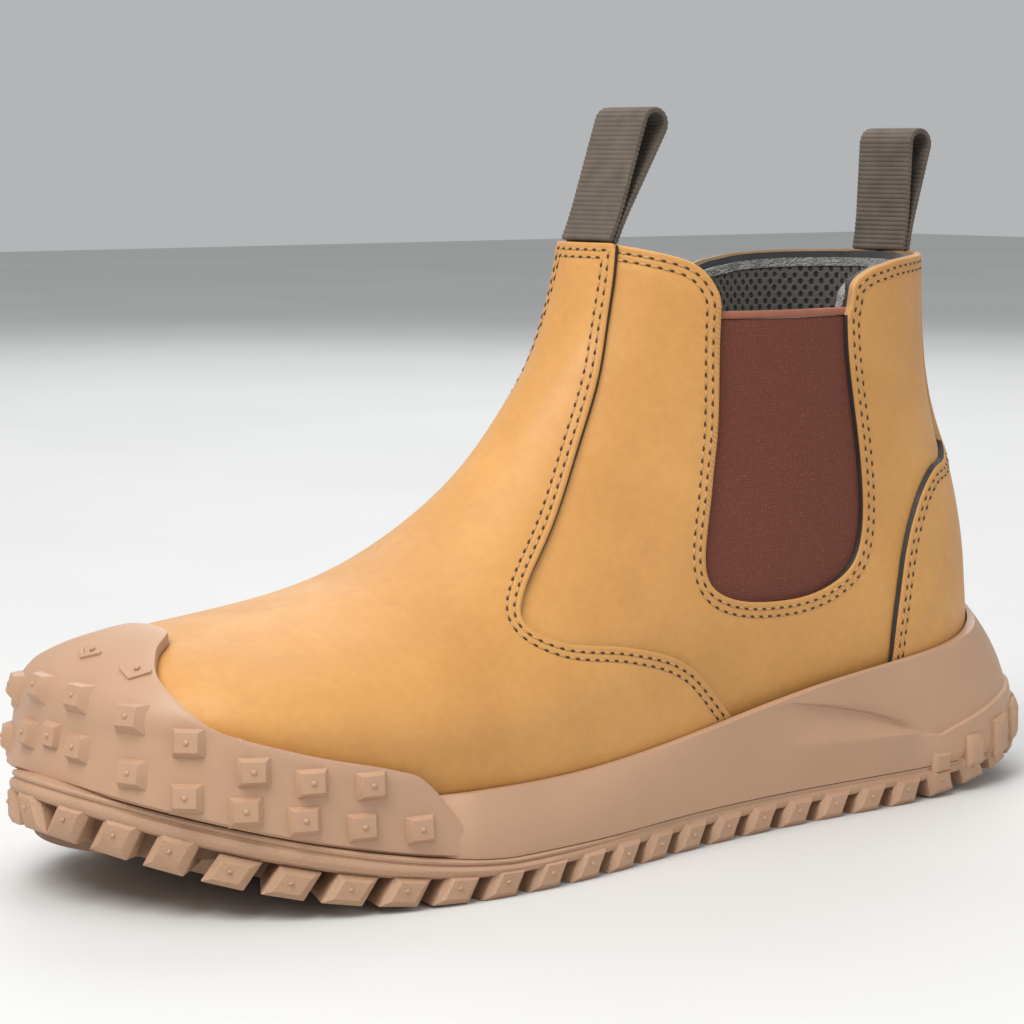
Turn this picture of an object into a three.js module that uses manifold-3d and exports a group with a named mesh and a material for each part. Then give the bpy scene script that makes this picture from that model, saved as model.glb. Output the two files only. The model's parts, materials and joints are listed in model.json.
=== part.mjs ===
// A left safety boot of the pull-on kind: leather upper with elastic gores, webbing pull loops,
// a steel toe cap under the vamp, a moulded cup midsole, a lugged outsole and a rubber toe guard.
// Millimetres, +X to the toe, +Y to the outer (lateral) side, +Z up, standing on z = 0.
import * as THREE from "three";
import { mergeVertices } from "three/addons/utils/BufferGeometryUtils.js";
import Module from "manifold-3d";

const wasm = await Module();
wasm.setup();

// ---- Driving dimensions ----
const GAP = 0.3; // clearance between pieces that touch
const LEATHER = 1.8; // thickness of the upper leather
const GORE = 1.5; // thickness of the elastic and of the heel stiffener
const LINING = 1.8; // thickness of the textile lining
const TOE_SPRING = 20; // rise of the tread at the toe tip
const TOE_BREAK = 60; // x where the tread starts to rise to the toe
const TOE_RUN = 92; // length of that rise
const HEEL_SPRING = 7; // rise of the tread at the heel tip
const HEEL_BREAK = -122;
const HEEL_RUN = 33;
const SPRING_POWER = 1.5;
const TREAD_HEIGHT = 5; // height of the outsole lugs
const OUTSOLE_TOP = 9; // top of the outsole plate over the ground line
const SEAT = 18; // bottom of the upper over the ground line
const BOARD = 2.5; // thickness of the insole board
const FOOTBED = 4.6; // thickness of the footbed foam
const COVER = 1.2; // thickness of the footbed cover
const GUARD = 3; // thickness of the toe guard
const LOOP_WIDTH = 20; // webbing of the pull loops
const WEBBING = 1.6; // its thickness
const FRONT_LOOP_HEIGHT = 38;
const REAR_LOOP_HEIGHT = 34.5;
const LOOP_SPREAD = 9.6; // outside width of a loop at its top, front to back
const FOOTBED_CLEARANCE = 1.4; // between the footbed and the lining round it
const CENTRE_SHIFT = 0.8; // across, to bring the middle of the sole to y = 0

// Depths under the outer face of the upper, layer by layer.
const LAYER_1 = LEATHER + GAP;
const LAYER_2 = LAYER_1 + LEATHER + GAP;
const LAYER_3 = LAYER_2 + GORE + 2 * GAP;
const CAVITY = LAYER_3 + LINING;

// Grid of the last: cells along u (toe tip to collar) and v (round the section).
const CELLS_U = 22;
const CELLS_V = 21;
const TIP_U = 0.01; // the sections start just behind the toe tip
const SHEET = 300; // side of the flat sheet that the leather patterns are cut from
const BOW = 12; // how far that sheet is bowed, so that its grid survives the cutting
const MERGE = 1e-4;

// ---- The last, the foot form that every piece of the upper is wrapped on ----
// One row per section, from the toe tip to the collar: front point x, z; back point x, z;
// half width to the outer side and to the inner side; centre y; roundness; fullness below.
const SECTIONS = [
  [147, 43, 147, 43, 0, 0, -8, 2.2, 0.05],
  [145, 50, 144, 35, 22, 22, -7, 2.2, 0.06],
  [137, 56.5, 135, 33, 36, 36, -6, 2.3, 0.08],
  [122, 62, 118, 28, 45, 45, -4, 2.3, 0.1],
  [98, 66, 90, 22, 50, 49, -2, 2.2, 0.14],
  [72, 72, 56, SEAT, 50, 48, 0, 2.1, 0.18],
  [49, 82.5, 15, SEAT, 46, 43, 0, 2.1, 0.18],
  [30, 97, -40, SEAT, 41, 37, 0, 2.1, 0.13],
  [16, 112, -98, SEAT, 39, 36, 0, 2.2, 0.06],
  [6, 125, -133, 26, 38, 36, 0, 2.3, 0.03],
  [0, 137.5, -136, 68, 38, 36, 0, 2.3, 0],
  [-3.5, 148.5, -123, 108, 39, 37, 0, 2.3, 0],
  [-5.5, 159.5, -119, 152, 40, 38, 0, 2.3, 0],
];
const SECTION_VALUES = SECTIONS[0].length;
const sectionSpline = new THREE.CubicInterpolant(
  SECTIONS.map((_, i) => i / (SECTIONS.length - 1)),
  SECTIONS.flat(),
  SECTION_VALUES,
  new Float32Array(SECTION_VALUES),
);
const BOX_ROUNDNESS = 3.2; // the lower half of a section is squarer, down to the feather edge
const BACK_LINE_U = [0.66, 0.8]; // over this stretch that lower half turns into the round back
const BACK_RISE_U = [0.66, 0.74]; // and the depth starts to move the bottom line as well
const FULL_INSET = 30; // a section narrower than this is inset by less
const TOP_RISE = 330; // past u = 1 the shaft goes straight up, by this much per unit of u
const TOE_ZONE = 0.25; // the toe tip moves in with the depth up to this u

const { lerp, clamp, smoothstep } = THREE.MathUtils;

// Height of the ground line under the tread: flat, with the toe and the heel rising.
function groundLine(x) {
  const toe = Math.max(0, (x - TOE_BREAK) / TOE_RUN);
  const heel = Math.max(0, (HEEL_BREAK - x) / HEEL_RUN);
  return TOE_SPRING * toe ** SPRING_POWER + HEEL_SPRING * heel ** SPRING_POWER;
}

// A point of the last: v = 0 on the front ridge, 1 on the sole or back line, v > 1 or < 0 on the
// inner side. A positive depth goes into the boot, a negative one out of it.
function lastPoint(u, vAround, depth) {
  const v = vAround - 2 * Math.round(vAround / 2);
  const values = sectionSpline.evaluate(clamp(u, TIP_U, 1));
  const [fx, fz, bx, bz, lateral, medial, centreY, round, full] = values;
  const span = Math.hypot(bx - fx, bz - fz) || 1;
  const share = (size) => (depth > 0 ? depth * Math.min(1, size / FULL_INSET) : depth);
  const inset = share(span);
  const rise = inset * smoothstep(u, ...BACK_RISE_U);
  const toeShift = depth * Math.max(0, 1 - u / TOE_ZONE);
  const front = [fx + ((bx - fx) / span) * inset - toeShift, fz + ((bz - fz) / span) * inset];
  const back = [bx + ((fx - bx) / span) * rise - toeShift, bz + ((fz - bz) / span) * rise];
  const cosine = Math.cos(Math.PI * v);
  const sine = Math.sin(Math.PI * Math.abs(v));
  const turned = (u - BACK_LINE_U[0]) / (BACK_LINE_U[1] - BACK_LINE_U[0]);
  const squarer = lerp(BOX_ROUNDNESS, round, clamp(turned, 0, 1));
  const power = cosine < 0 ? squarer : round;
  const radius = (Math.abs(cosine) ** power + sine ** power) ** (1 / power);
  const across = sine / radius;
  const down = (1 - cosine / radius) / 2 + full * across * across;
  const half = v < 0 ? medial : lateral;
  const width = half - share(half);
  return new THREE.Vector3(
    lerp(front[0], back[0], down),
    centreY + Math.sign(v) * width * across,
    lerp(front[1], back[1], down) + TOP_RISE * Math.max(0, u - 1),
  );
}

// The surface that a wrap gives, faceted on one grid, so that pieces cut to different patterns
// still lie parallel.
const faceted = (wrap) => (u, v, depth) => {
  const i = Math.floor(u * CELLS_U + MERGE);
  const j = Math.floor((v * CELLS_V) / 2 + MERGE);
  const along = u * CELLS_U - i;
  const round = (v * CELLS_V) / 2 - j;
  const node = (di, dj) => wrap((i + di) / CELLS_U, (2 * (j + dj)) / CELLS_V, depth);
  const small = Math.min(along, round);
  const large = Math.max(along, round);
  const side = round > along ? node(0, 1) : node(1, 0);
  return node(0, 0)
    .multiplyScalar(1 - large)
    .addScaledVector(side, large - small)
    .addScaledVector(node(1, 1), small);
};

// ---- Solids ----
// A closed geometry as a manifold solid, turned right side out.
function solidOf(geometry) {
  const bare = new THREE.BufferGeometry();
  bare.setAttribute("position", geometry.getAttribute("position").clone());
  bare.setIndex(geometry.index);
  const merged = mergeVertices(bare, MERGE);
  const triVerts = new Uint32Array(merged.index.array);
  const vertProperties = merged.attributes.position.array;
  const make = () => new wasm.Manifold(new wasm.Mesh({ numProp: 3, vertProperties, triVerts }));
  const made = make();
  if (made.volume() > 0) return made;
  for (let i = 0; i < triVerts.length; i += 3) {
    [triVerts[i], triVerts[i + 1]] = [triVerts[i + 1], triVerts[i]];
  }
  return make();
}

function geometryOf(solid) {
  const { vertProperties, triVerts } = solid.getMesh();
  const geometry = new THREE.BufferGeometry();
  geometry.setAttribute("position", new THREE.BufferAttribute(vertProperties, 3));
  geometry.setIndex(new THREE.BufferAttribute(triVerts, 1));
  return geometry;
}

// Moves every vertex of a geometry to place(point).
function warped(geometry, place) {
  const position = geometry.getAttribute("position");
  const point = new THREE.Vector3();
  for (let i = 0; i < position.count; i++) {
    const moved = place(point.fromBufferAttribute(position, i));
    position.setXYZ(i, moved.x, moved.y, moved.z);
  }
  return geometry;
}

// A box of grid cells, spanning -0.5 to 0.5, with the same diagonals on its top and its bottom,
// so that layers wrapped over each other stay a constant distance apart.
function gridBox(cellsX, cellsY, cellsZ = 1) {
  const box = new THREE.BoxGeometry(1, 1, 1, cellsX, cellsY, cellsZ);
  const index = box.index.array;
  const bottom = box.groups[5];
  for (let i = bottom.start; i < bottom.start + bottom.count; i += 6) {
    const [a, b, , , c, d] = index.slice(i, i + 6);
    index.set([a, b, c, a, c, d], i);
  }
  return box;
}

const points2 = (pairs) => pairs.map(([x, y]) => new THREE.Vector2(x, y));
const mirrorV = (pairs, axis = 0) => pairs.map(([u, v]) => [u, 2 * axis - v]).reverse();
const shifted = (pairs, du, dv) => pairs.map(([u, v]) => [u + du, v + dv]);

// A smooth curve through hand-set points, as a list of pairs.
function smooth(pairs, steps = 2) {
  const spline = new THREE.SplineCurve(points2(pairs));
  return spline.getPoints((pairs.length - 1) * steps).map((p) => [p.x, p.y]);
}

// A straight prism through the bowed sheet, from a closed pattern in (u, v).
function patternPrism(pattern) {
  const shape = new THREE.Shape(points2(pattern.map(([u, v]) => [u * SHEET, v * SHEET])));
  const prism = new THREE.ExtrudeGeometry(shape, { depth: 4 * BOW, bevelEnabled: false });
  return solidOf(prism.translate(0, 0, -BOW));
}

const bowAt = (x, y) => (BOW * (x * x + y * y)) / (SHEET * SHEET);

// Cuts a piece of the upper from a sheet to its pattern and wraps it on the last, between two
// depths. wrap may be another surface than the last.
function panel(pattern, outer, inner, { openings = [], wrap = lastPoint } = {}) {
  const box = new THREE.Box2().setFromPoints(points2(pattern));
  const from = [Math.floor(box.min.x * CELLS_U), Math.floor((box.min.y * CELLS_V) / 2)];
  const to = [Math.ceil(box.max.x * CELLS_U), Math.ceil((box.max.y * CELLS_V) / 2)];
  const sheet = warped(gridBox(to[0] - from[0], to[1] - from[1]), (p) => {
    const x = (SHEET * lerp(from[0], to[0], p.x + 0.5)) / CELLS_U;
    const y = (SHEET * 2 * lerp(from[1], to[1], p.y + 0.5)) / CELLS_V;
    return new THREE.Vector3(x, y, p.z + 0.5 + bowAt(x, y));
  });
  let cut = solidOf(sheet).intersect(patternPrism(pattern));
  for (const opening of openings) cut = cut.subtract(patternPrism(opening));
  const surface = faceted(wrap);
  const wrapped = warped(geometryOf(cut), (p) =>
    surface(p.x / SHEET, p.y / SHEET, lerp(inner, outer, p.z - bowAt(p.x, p.y))),
  );
  return solidOf(wrapped);
}

// The whole last as one solid, grown or shrunk by a depth.
function lastSolid(depth) {
  const cylinder = new THREE.CylinderGeometry(1, 1, 1, CELLS_V, CELLS_U);
  const place = (p) => {
    const u = p.y + 0.5;
    if (Math.hypot(p.x, p.z) > 0.5) return lastPoint(u, Math.atan2(p.x, p.z) / Math.PI, depth);
    return lastPoint(u, 0, depth).lerp(lastPoint(u, 1, depth), 0.5);
  };
  return solidOf(warped(cylinder, place));
}

// A side-view outline in (x, z), extruded right through the boot.
const BOOT_WIDTH = 140;
function sidePrism(outline) {
  const shape = new THREE.Shape(points2(outline));
  const prism = new THREE.ExtrudeGeometry(shape, { depth: BOOT_WIDTH, bevelEnabled: false });
  return solidOf(prism.rotateX(Math.PI / 2).translate(0, BOOT_WIDTH / 2, 0));
}

// A layer that follows the ground line, between two heights over it.
const LAYER_STEPS = 16;
const LAYER_FROM = -160;
const LAYER_TO = 160;
function groundedLayer(low, high) {
  const xs = Array.from({ length: LAYER_STEPS + 1 }, (_, i) =>
    lerp(LAYER_FROM, LAYER_TO, i / LAYER_STEPS),
  );
  const edge = (height) => xs.map((x) => [x, Math.min(groundLine(x), TOE_SPRING) + height]);
  return sidePrism([...edge(low), ...edge(high).reverse()]);
}

// ---- Patterns of the upper, in (u, v) on the outer side of the boot ----
const TOP_U = 1.03; // patterns run past the collar line, which trims them
const FEATHER_V = 0.86; // and past the feather edge at the sole
const SEAM_OVERLAP_U = 0.035;
const SEAM_OVERLAP_V = 0.045; // it fades out between the next two, where the seam turns rearward
const OVERLAP_TURN = [0.28, 0.36];
const BACK_SEAM_V = 0.985;
const HEEL_SEAT_U = 0.735; // lower end of the pieces on the back line

const vampSeam = smooth([
  [TOP_U, 0.094],
  [0.93, 0.104],
  [0.79, 0.122],
  [0.65, 0.158],
  [0.56, 0.205],
  [0.51, 0.243],
  [0.49, 0.285],
  [0.506, 0.346],
  [0.545, 0.41],
  [0.57, 0.48],
  [0.576, 0.58],
  [0.577, FEATHER_V],
]);
const vampPattern = [...vampSeam, [0.02, FEATHER_V], [0.02, -FEATHER_V], ...mirrorV(vampSeam)];

const goreOpening = smooth([
  [TOP_U + 0.05, 0.297],
  [0.85, 0.3],
  [0.75, 0.308],
  [0.69, 0.333],
  [0.645, 0.37],
  [0.627, 0.41],
  [0.638, 0.457],
  [0.672, 0.497],
  [0.72, 0.517],
  [0.77, 0.527],
  [0.87, 0.526],
  [TOP_U + 0.05, 0.53],
]);
const hiddenEdge = vampSeam.map(([u, v]) => [
  u - SEAM_OVERLAP_U,
  v - SEAM_OVERLAP_V * (1 - THREE.MathUtils.smoothstep(v, ...OVERLAP_TURN)),
]);
const quarterPattern = [
  ...hiddenEdge,
  [0.69, FEATHER_V],
  [HEEL_SEAT_U, BACK_SEAM_V],
  [TOP_U, BACK_SEAM_V],
];

const GORE_CENTRE = [0.8, 0.415];
const GORE_MARGIN = 1.2; // the elastic is sewn in behind the leather, so it is cut larger
const gorePattern = goreOpening.map(([u, v]) => [
  lerp(GORE_CENTRE[0], u, GORE_MARGIN),
  lerp(GORE_CENTRE[1], v, GORE_MARGIN),
]);

const backstayEdge = smooth([
  [TOP_U, 0.87],
  [0.94, 0.865],
  [0.895, 0.835],
  [0.87, 0.76],
  [0.85, 0.685],
  [0.815, 0.625],
  [0.77, 0.594],
  [0.72, 0.615],
  [0.66, 0.7],
]);
const heelSeat = [
  [0.69, FEATHER_V],
  [HEEL_SEAT_U, 0.97],
];
const heelSeatLine = [...heelSeat, ...mirrorV(heelSeat, 1)];
const backstayPattern = [...backstayEdge, ...heelSeatLine, ...mirrorV(backstayEdge, 1)];

const LINING_SPLIT_U = 0.535;
const LINING_SPLIT_V = 0.26;
const frontLiningEdge = [
  [TOP_U, LINING_SPLIT_V],
  [0.6, LINING_SPLIT_V],
  [0.55, 0.31],
  [LINING_SPLIT_U, 0.42],
  [LINING_SPLIT_U, FEATHER_V],
];
const frontLiningPattern = [
  ...frontLiningEdge,
  [0.02, FEATHER_V],
  [0.02, -FEATHER_V],
  ...mirrorV(frontLiningEdge),
];
const rearLiningEdge = shifted(frontLiningEdge, 0.008, 0.012);
const rearLiningPattern = [
  ...rearLiningEdge,
  ...heelSeatLine,
  ...mirrorV(rearLiningEdge, 1),
];

const CAP_END = 0.33; // rear edge of the toe cap, on the ridge
const CAP_FLARE = 0.02; // it is this much further back at the feather edge
const TRIM_LAP = [0.015, 0.035]; // how far the strip on that edge reaches before and behind it
const TRIM_V = 0.8;
const capPattern = [
  [0.025, FEATHER_V],
  [0.025, -FEATHER_V],
  [CAP_END + CAP_FLARE, -FEATHER_V],
  [CAP_END, -0.5],
  [CAP_END, 0.5],
  [CAP_END + CAP_FLARE, FEATHER_V],
];
const band = (u0, u1, v0, v1) => [
  [u0, v0],
  [u0, v1],
  [u1, v1],
  [u1, v0],
];
const trimPattern = band(CAP_END - TRIM_LAP[0], CAP_END + TRIM_LAP[1], -TRIM_V, TRIM_V);

// Tapes behind the collar edge, and the ends of the pull loops sewn in behind them.
const TAPE_THICK = 0.6;
const FRONT_TAPE_U = [0.9, TOP_U];
const FRONT_TAPE_V = [-0.255, 0.255];
const REAR_TAPE_U = [0.93, TOP_U];
const REAR_TAPE_V = [0.58, 1.42];
const TAIL_U = [0.88, TOP_U];
const TAIL_V = 0.083;

const STIFFENER_LIFT = 0.045; // its lower edge over the seat line, in u
const stiffenerEdge = smooth([
  [0.68, 0.63],
  [0.76, 0.66],
  [0.82, 0.77],
  [0.845, 1],
]);
const stiffenerTop = [...stiffenerEdge, ...mirrorV(stiffenerEdge, 1).slice(1)];
const stiffenerFoot = shifted(heelSeatLine, STIFFENER_LIFT, 0).reverse();
const stiffenerPattern = [...stiffenerTop, ...stiffenerFoot];

// Side-view line of the collar, front to back, dipping over the gores.
const COLLAR = [
  [60, 155],
  [-6, 154.4],
  [-10, 153.3],
  [-17, 151],
  [-20.5, 149.4],
  [-23.5, 147],
  [-26, 143.3],
  [-27.5, 139.7],
  [-28, 136.6],
  [-68.3, 136.6],
  [-68.5, 140.8],
  [-70.5, 144],
  [-75, 146.2],
  [-81, 147.6],
  [-98, 149.4],
  [-160, 150.6],
];
const boardBottom = SEAT + GAP;
const boardTop = boardBottom + BOARD;
const upperFloor = boardTop + GAP;
const floorLine = Array.from({ length: LAYER_STEPS + 1 }, (_, i) => {
  const x = lerp(LAYER_FROM, LAYER_TO, i / LAYER_STEPS);
  return [x, Math.min(groundLine(x), TOE_SPRING) + upperFloor];
});
const upperTrim = sidePrism([...floorLine, [LAYER_TO, COLLAR[0][1]], ...COLLAR]);

// ---- The sole ----
// Plan outlines from the heel tip to the toe tip, as x, y, z; the two sides have matching points.
const curve3 = (triples) =>
  new THREE.CatmullRomCurve3(triples.map(([x, y, z = 0]) => new THREE.Vector3(x, y, z)));
const soleOuter = curve3([
  [-155, 5],
  [-149, 20],
  [-135, 32],
  [-110, 39],
  [-60, 41],
  [0, 47],
  [38, 55],
  [70, 57],
  [100, 52.5],
  [130, 38],
  [149, 15],
  [155, -2],
]);
const soleInner = curve3([
  [-155, -9],
  [-149, -22],
  [-135, -32],
  [-110, -38],
  [-60, -37],
  [-5, -42],
  [35, -51],
  [68, -57],
  [98, -56],
  [128, -47],
  [148, -31],
  [155, -14],
]);
// The rim of the cup, where it meets the leather.
const rimOuter = curve3([
  [-138.5, 5, 50],
  [-135, 15, 48.5],
  [-128, 26, 45.5],
  [-112, 34.5, 42],
  [-62, 40, 37],
  [-2, 44.5, 28.3],
  [34, 48.5, 25.2],
  [62, 51.5, 25],
  [92, 51, 25],
  [119, 47, 27],
  [137, 31, 34],
  [146, 2, 38],
]);
const rimInner = curve3([
  [-138.5, -5, 50],
  [-135, -14, 48.5],
  [-128, -24.5, 45.5],
  [-112, -33, 42],
  [-62, -37.5, 37],
  [-2, -41.5, 28.3],
  [34, -45.5, 25.2],
  [62, -50, 25],
  [90, -51, 25],
  [116, -50, 27],
  [134, -39, 34],
  [145, -18, 38],
]);
const SOLE_CELLS = 24;
const CUP_CLEARANCE = 0.9; // cement line between the upper and the cup
const WALL_LEVEL = 0.55; // share of the wall height where its flare ends
const WALL_INSET = 0.25; // share of the way in to the rim that the wall has gone there

// The tread rises by lines of its own: later than the ground line of the layers above it at the
// toe, and earlier at the heel.
const TREAD_TOE = { from: TOE_BREAK, run: TOE_RUN, rise: 16, power: 2.4 };
const TREAD_HEEL = { from: -88, run: -65, rise: 9, power: 1.4 };

function treadRise(x) {
  const rise = (end) => end.rise * Math.max(0, (x - end.from) / end.run) ** end.power;
  return rise(TREAD_TOE) + rise(TREAD_HEEL);
}

// A point of the sole: along from heel to toe, across from inner to outer, height over the ground.
function solePoint(along, across, height) {
  const p = soleInner.getPoint(along).lerp(soleOuter.getPoint(along), across);
  const drop = (groundLine(p.x) - treadRise(p.x)) * Math.max(0, 1 - height / OUTSOLE_TOP);
  return p.setZ(groundLine(p.x) + height - drop);
}
const rimPoint = (along, across) => rimInner.getPoint(along).lerp(rimOuter.getPoint(along), across);

function soleBlock(along, across, height, cells = [1, 1, 1], slant = 0) {
  return solidOf(
    warped(gridBox(...cells), (p) =>
      solePoint(
        clamp(lerp(...along, p.x + 0.5) + slant * p.y, 0, 1),
        lerp(...across, p.y + 0.5),
        lerp(...height, p.z + 0.5),
      ),
    ),
  );
}

const EDGE_LUGS = 24; // along each side, at an even pitch
const EDGE_LUG_SHARE = 0.62; // lug length over lug pitch
const EDGE_LUG_DEPTH = 0.17; // share of the sole's width
const EDGE_SLANT = 0.012;
const CENTRE_LUGS = 11;
const CENTRE_LUG_SHARE = 0.6;
const CENTRE_ALONG = [0.06, 0.94]; // stretch of the sole that the centre lugs take
const CENTRE_ACROSS = [0.28, 0.72];
const LUG_ROOT = 0.6; // how far a lug reaches into the plate

// The share of the sole's stations that is a share of the length of its edge.
const stationAt = (share) => soleOuter.getUtoTmapping(share, 0);

function buildOutsole() {
  let sole = soleBlock([0, 1], [0, 1], [TREAD_HEIGHT, OUTSOLE_TOP], [SOLE_CELLS, 4, 1]);
  const lugHeight = [0, TREAD_HEIGHT + LUG_ROOT];
  for (let i = 0; i < EDGE_LUGS; i++) {
    const middle = i + 0.5;
    const ends = [middle - EDGE_LUG_SHARE / 2, middle + EDGE_LUG_SHARE / 2];
    const along = ends.map((n) => stationAt(n / EDGE_LUGS));
    sole = sole.add(soleBlock(along, [0, EDGE_LUG_DEPTH], lugHeight, [1, 1, 1], EDGE_SLANT));
    sole = sole.add(soleBlock(along, [1 - EDGE_LUG_DEPTH, 1], lugHeight, [1, 1, 1], -EDGE_SLANT));
  }
  for (let i = 0; i < CENTRE_LUGS; i++) {
    const along = [i, i + CENTRE_LUG_SHARE].map((n) => lerp(...CENTRE_ALONG, n / CENTRE_LUGS));
    sole = sole.add(soleBlock(along, CENTRE_ACROSS, lugHeight));
  }
  return sole;
}

const SHANK_X = [-85, 35];
const SHANK_WIDTH = 14;
const SHANK_THICK = 1.6;
const shankTop = SEAT - 2 * GAP;
const SLOT_RISE = 2; // the slot for the shank is open to the seat by this much

function shankBox(grow) {
  const length = SHANK_X[1] - SHANK_X[0];
  const box = new THREE.BoxGeometry(length + 2 * grow, SHANK_WIDTH + 2 * grow, SHANK_THICK + 2 * grow);
  return box.translate((SHANK_X[0] + SHANK_X[1]) / 2, 0, shankTop - SHANK_THICK / 2);
}

// ---- The toe guard ----
const GUARD_FOLD = 0.5; // below this v the guard hangs straight down to the tread
const GUARD_LOW = 0.85;
const GUARD_SPREAD = 2.5; // how far its foot stands out
const GUARD_BASE = OUTSOLE_TOP + GAP; // height of its foot over the ground line
const GUARD_AXIS_X = 60;
const GUARD_CLEAR = 1.04; // the midsole is cut clear of a guard grown by this factor
const GUARD_CUT = [-9, 3]; // depths between which that cut is made

function guardPoint(u, v, depth) {
  const folded = clamp(v, -GUARD_FOLD, GUARD_FOLD);
  const p = lastPoint(u, folded, depth);
  const fall = (Math.abs(v) - Math.abs(folded)) / (GUARD_LOW - GUARD_FOLD);
  const outward = new THREE.Vector3(p.x - GUARD_AXIS_X, p.y, 0).setLength(GUARD_SPREAD * fall);
  p.add(outward);
  p.z = lerp(p.z, groundLine(p.x) + GUARD_BASE, fall);
  return p;
}
const guardSurface = faceted(guardPoint);
const guardEdge = smooth([
  [0.242, 0],
  [0.236, 0.06],
  [0.2, 0.12],
  [0.168, 0.22],
  [0.17, 0.36],
  [0.2, 0.48],
  [0.27, 0.54],
  [0.335, 0.57],
  [0.362, 0.62],
  [0.4, GUARD_LOW],
]);
const guardPattern = [
  ...mirrorV(guardEdge).slice(0, -1),
  ...guardEdge,
  [0, GUARD_LOW],
  [0, -GUARD_LOW],
];

const GUARD_LUG = { height: 2.4, root: 0.6, taper: 0.7 };
const TIP_LUG_SIZE = [5, 13, 14];
const TIP_LUG_AT = [150.2, -8, 37.5];
const TIP_LUG_CLEARANCE = 4;
const GUARD_LUG_U = 0.034; // length of a lug along u
// Lugs of one side, in an upper and a lower row: u, v and height in v.
const GUARD_LUGS = [
  [0.055, 0.16, 0.24],
  [0.1, 0.369, 0.14],
  [0.163, 0.53, 0.11],
  [0.228, 0.625, 0.11],
  [0.275, 0.64, 0.11],
  [0.318, 0.63, 0.11],
  [0.031, 0.62, 0.12],
  [0.1, 0.69, 0.11],
  [0.165, 0.765, 0.11],
  [0.223, 0.785, 0.1],
  [0.27, 0.79, 0.1],
  [0.312, 0.785, 0.1],
  [0.352, 0.77, 0.1],
];

function guardLug(u, v, sizeU, sizeV) {
  const block = warped(gridBox(1, 1), (p) => {
    const share = lerp(1, GUARD_LUG.taper, p.z + 0.5);
    const out = GUARD + lerp(-GUARD_LUG.root, GUARD_LUG.height, p.z + 0.5);
    return guardSurface(u + p.x * sizeU * share, v + p.y * sizeV * share, -out);
  });
  return solidOf(block);
}

// The lug on the toe tip, which also closes the guard there.
function tipLug(grow) {
  const [length, width, height] = TIP_LUG_SIZE.map((size) => size + 2 * grow);
  return solidOf(new THREE.BoxGeometry(length, width, height).translate(...TIP_LUG_AT));
}

function buildGuard() {
  let guard = panel(guardPattern, -GAP - GUARD, -GAP, { wrap: guardPoint }).add(tipLug(0));
  for (const [u, v, sizeV] of GUARD_LUGS) {
    guard = guard.add(guardLug(u, v, GUARD_LUG_U, sizeV));
    guard = guard.add(guardLug(u, -v, GUARD_LUG_U, sizeV));
  }
  return guard;
}

function buildMidsole() {
  const block = solidOf(
    warped(gridBox(SOLE_CELLS, 4, 2), (p) => {
      const along = p.x + 0.5;
      const across = p.y + 0.5;
      const foot = solePoint(along, across, OUTSOLE_TOP + GAP);
      const rim = rimPoint(along, across);
      const level = Math.round(2 * p.z);
      if (level < 0) return foot;
      if (level > 0) return rim;
      const wall = foot.clone().lerp(rim, WALL_INSET);
      return wall.setZ(lerp(foot.z, rim.z, WALL_LEVEL));
    }),
  );
  const grownPattern = guardPattern.map(([u, v]) => [u * GUARD_CLEAR, v * GUARD_CLEAR]);
  const grownGuard = panel(grownPattern, ...GUARD_CUT, { wrap: guardPoint });
  const cup = block
    .subtract(lastSolid(-CUP_CLEARANCE))
    .subtract(solidOf(shankBox(GAP)).add(solidOf(shankBox(GAP).translate(0, 0, SLOT_RISE))))
    .subtract(grownGuard)
    .subtract(tipLug(TIP_LUG_CLEARANCE));
  const pieces = cup.decompose().sort((a, b) => b.volume() - a.volume());
  return pieces[0];
}

// ---- The pull loops ----
// A strip of webbing folded into a loop, seen from the side, then extruded to its width. Its two
// ends are sewn together at the foot, which is round about the line on which the loop flexes.
const LOOP_STITCH = 5; // height up to which the two ends are sewn together

function loopShape(height) {
  const half = LOOP_SPREAD / 2;
  const top = height - half;
  const outer = new THREE.Shape();
  outer.absarc(0, WEBBING, WEBBING, 0, Math.PI, true);
  outer.absarc(0, top, half, Math.PI, 0, true);
  const inner = new THREE.Path();
  inner.moveTo(0, LOOP_STITCH);
  inner.lineTo(half - WEBBING, top);
  inner.absarc(0, top, half - WEBBING, 0, Math.PI, false);
  outer.holes.push(inner);
  return outer;
}

const FRONT_LEAN = THREE.MathUtils.degToRad(25);
const REAR_LEAN = THREE.MathUtils.degToRad(10);
const FRONT_LOOP_AT = [-9, 0, 156.3]; // middle of the foot of each loop, just over the collar
const REAR_LOOP_AT = [-116, 0, 152];

function pullLoop(height, lean) {
  const strip = new THREE.ExtrudeGeometry(loopShape(height), {
    depth: LOOP_WIDTH,
    bevelEnabled: false,
    curveSegments: 5,
  });
  return strip.rotateX(Math.PI / 2).translate(0, LOOP_WIDTH / 2, -WEBBING).rotateY(-lean);
}

// ---- Materials and assembly ----
const finish = (color, roughness, metalness = 0) => ({ color, roughness, metalness });
const WHEAT = finish(0xcd9a59, 0.62);
const SOLE = finish(0xba9377, 0.7);
const ELASTIC = finish(0x6d3f30, 0.9);
const TAPE = finish(0x4a443c, 0.9);
const MESH = finish(0x4b4a48, 0.95);
const STEEL = finish(0x9a9da0, 0.35, 1);
const FIBRE = finish(0xc9bda4, 0.9);
const FOAM = finish(0x3c3f44, 0.9);
const TRIM = finish(0x2c2c2c, 0.7);

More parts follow.
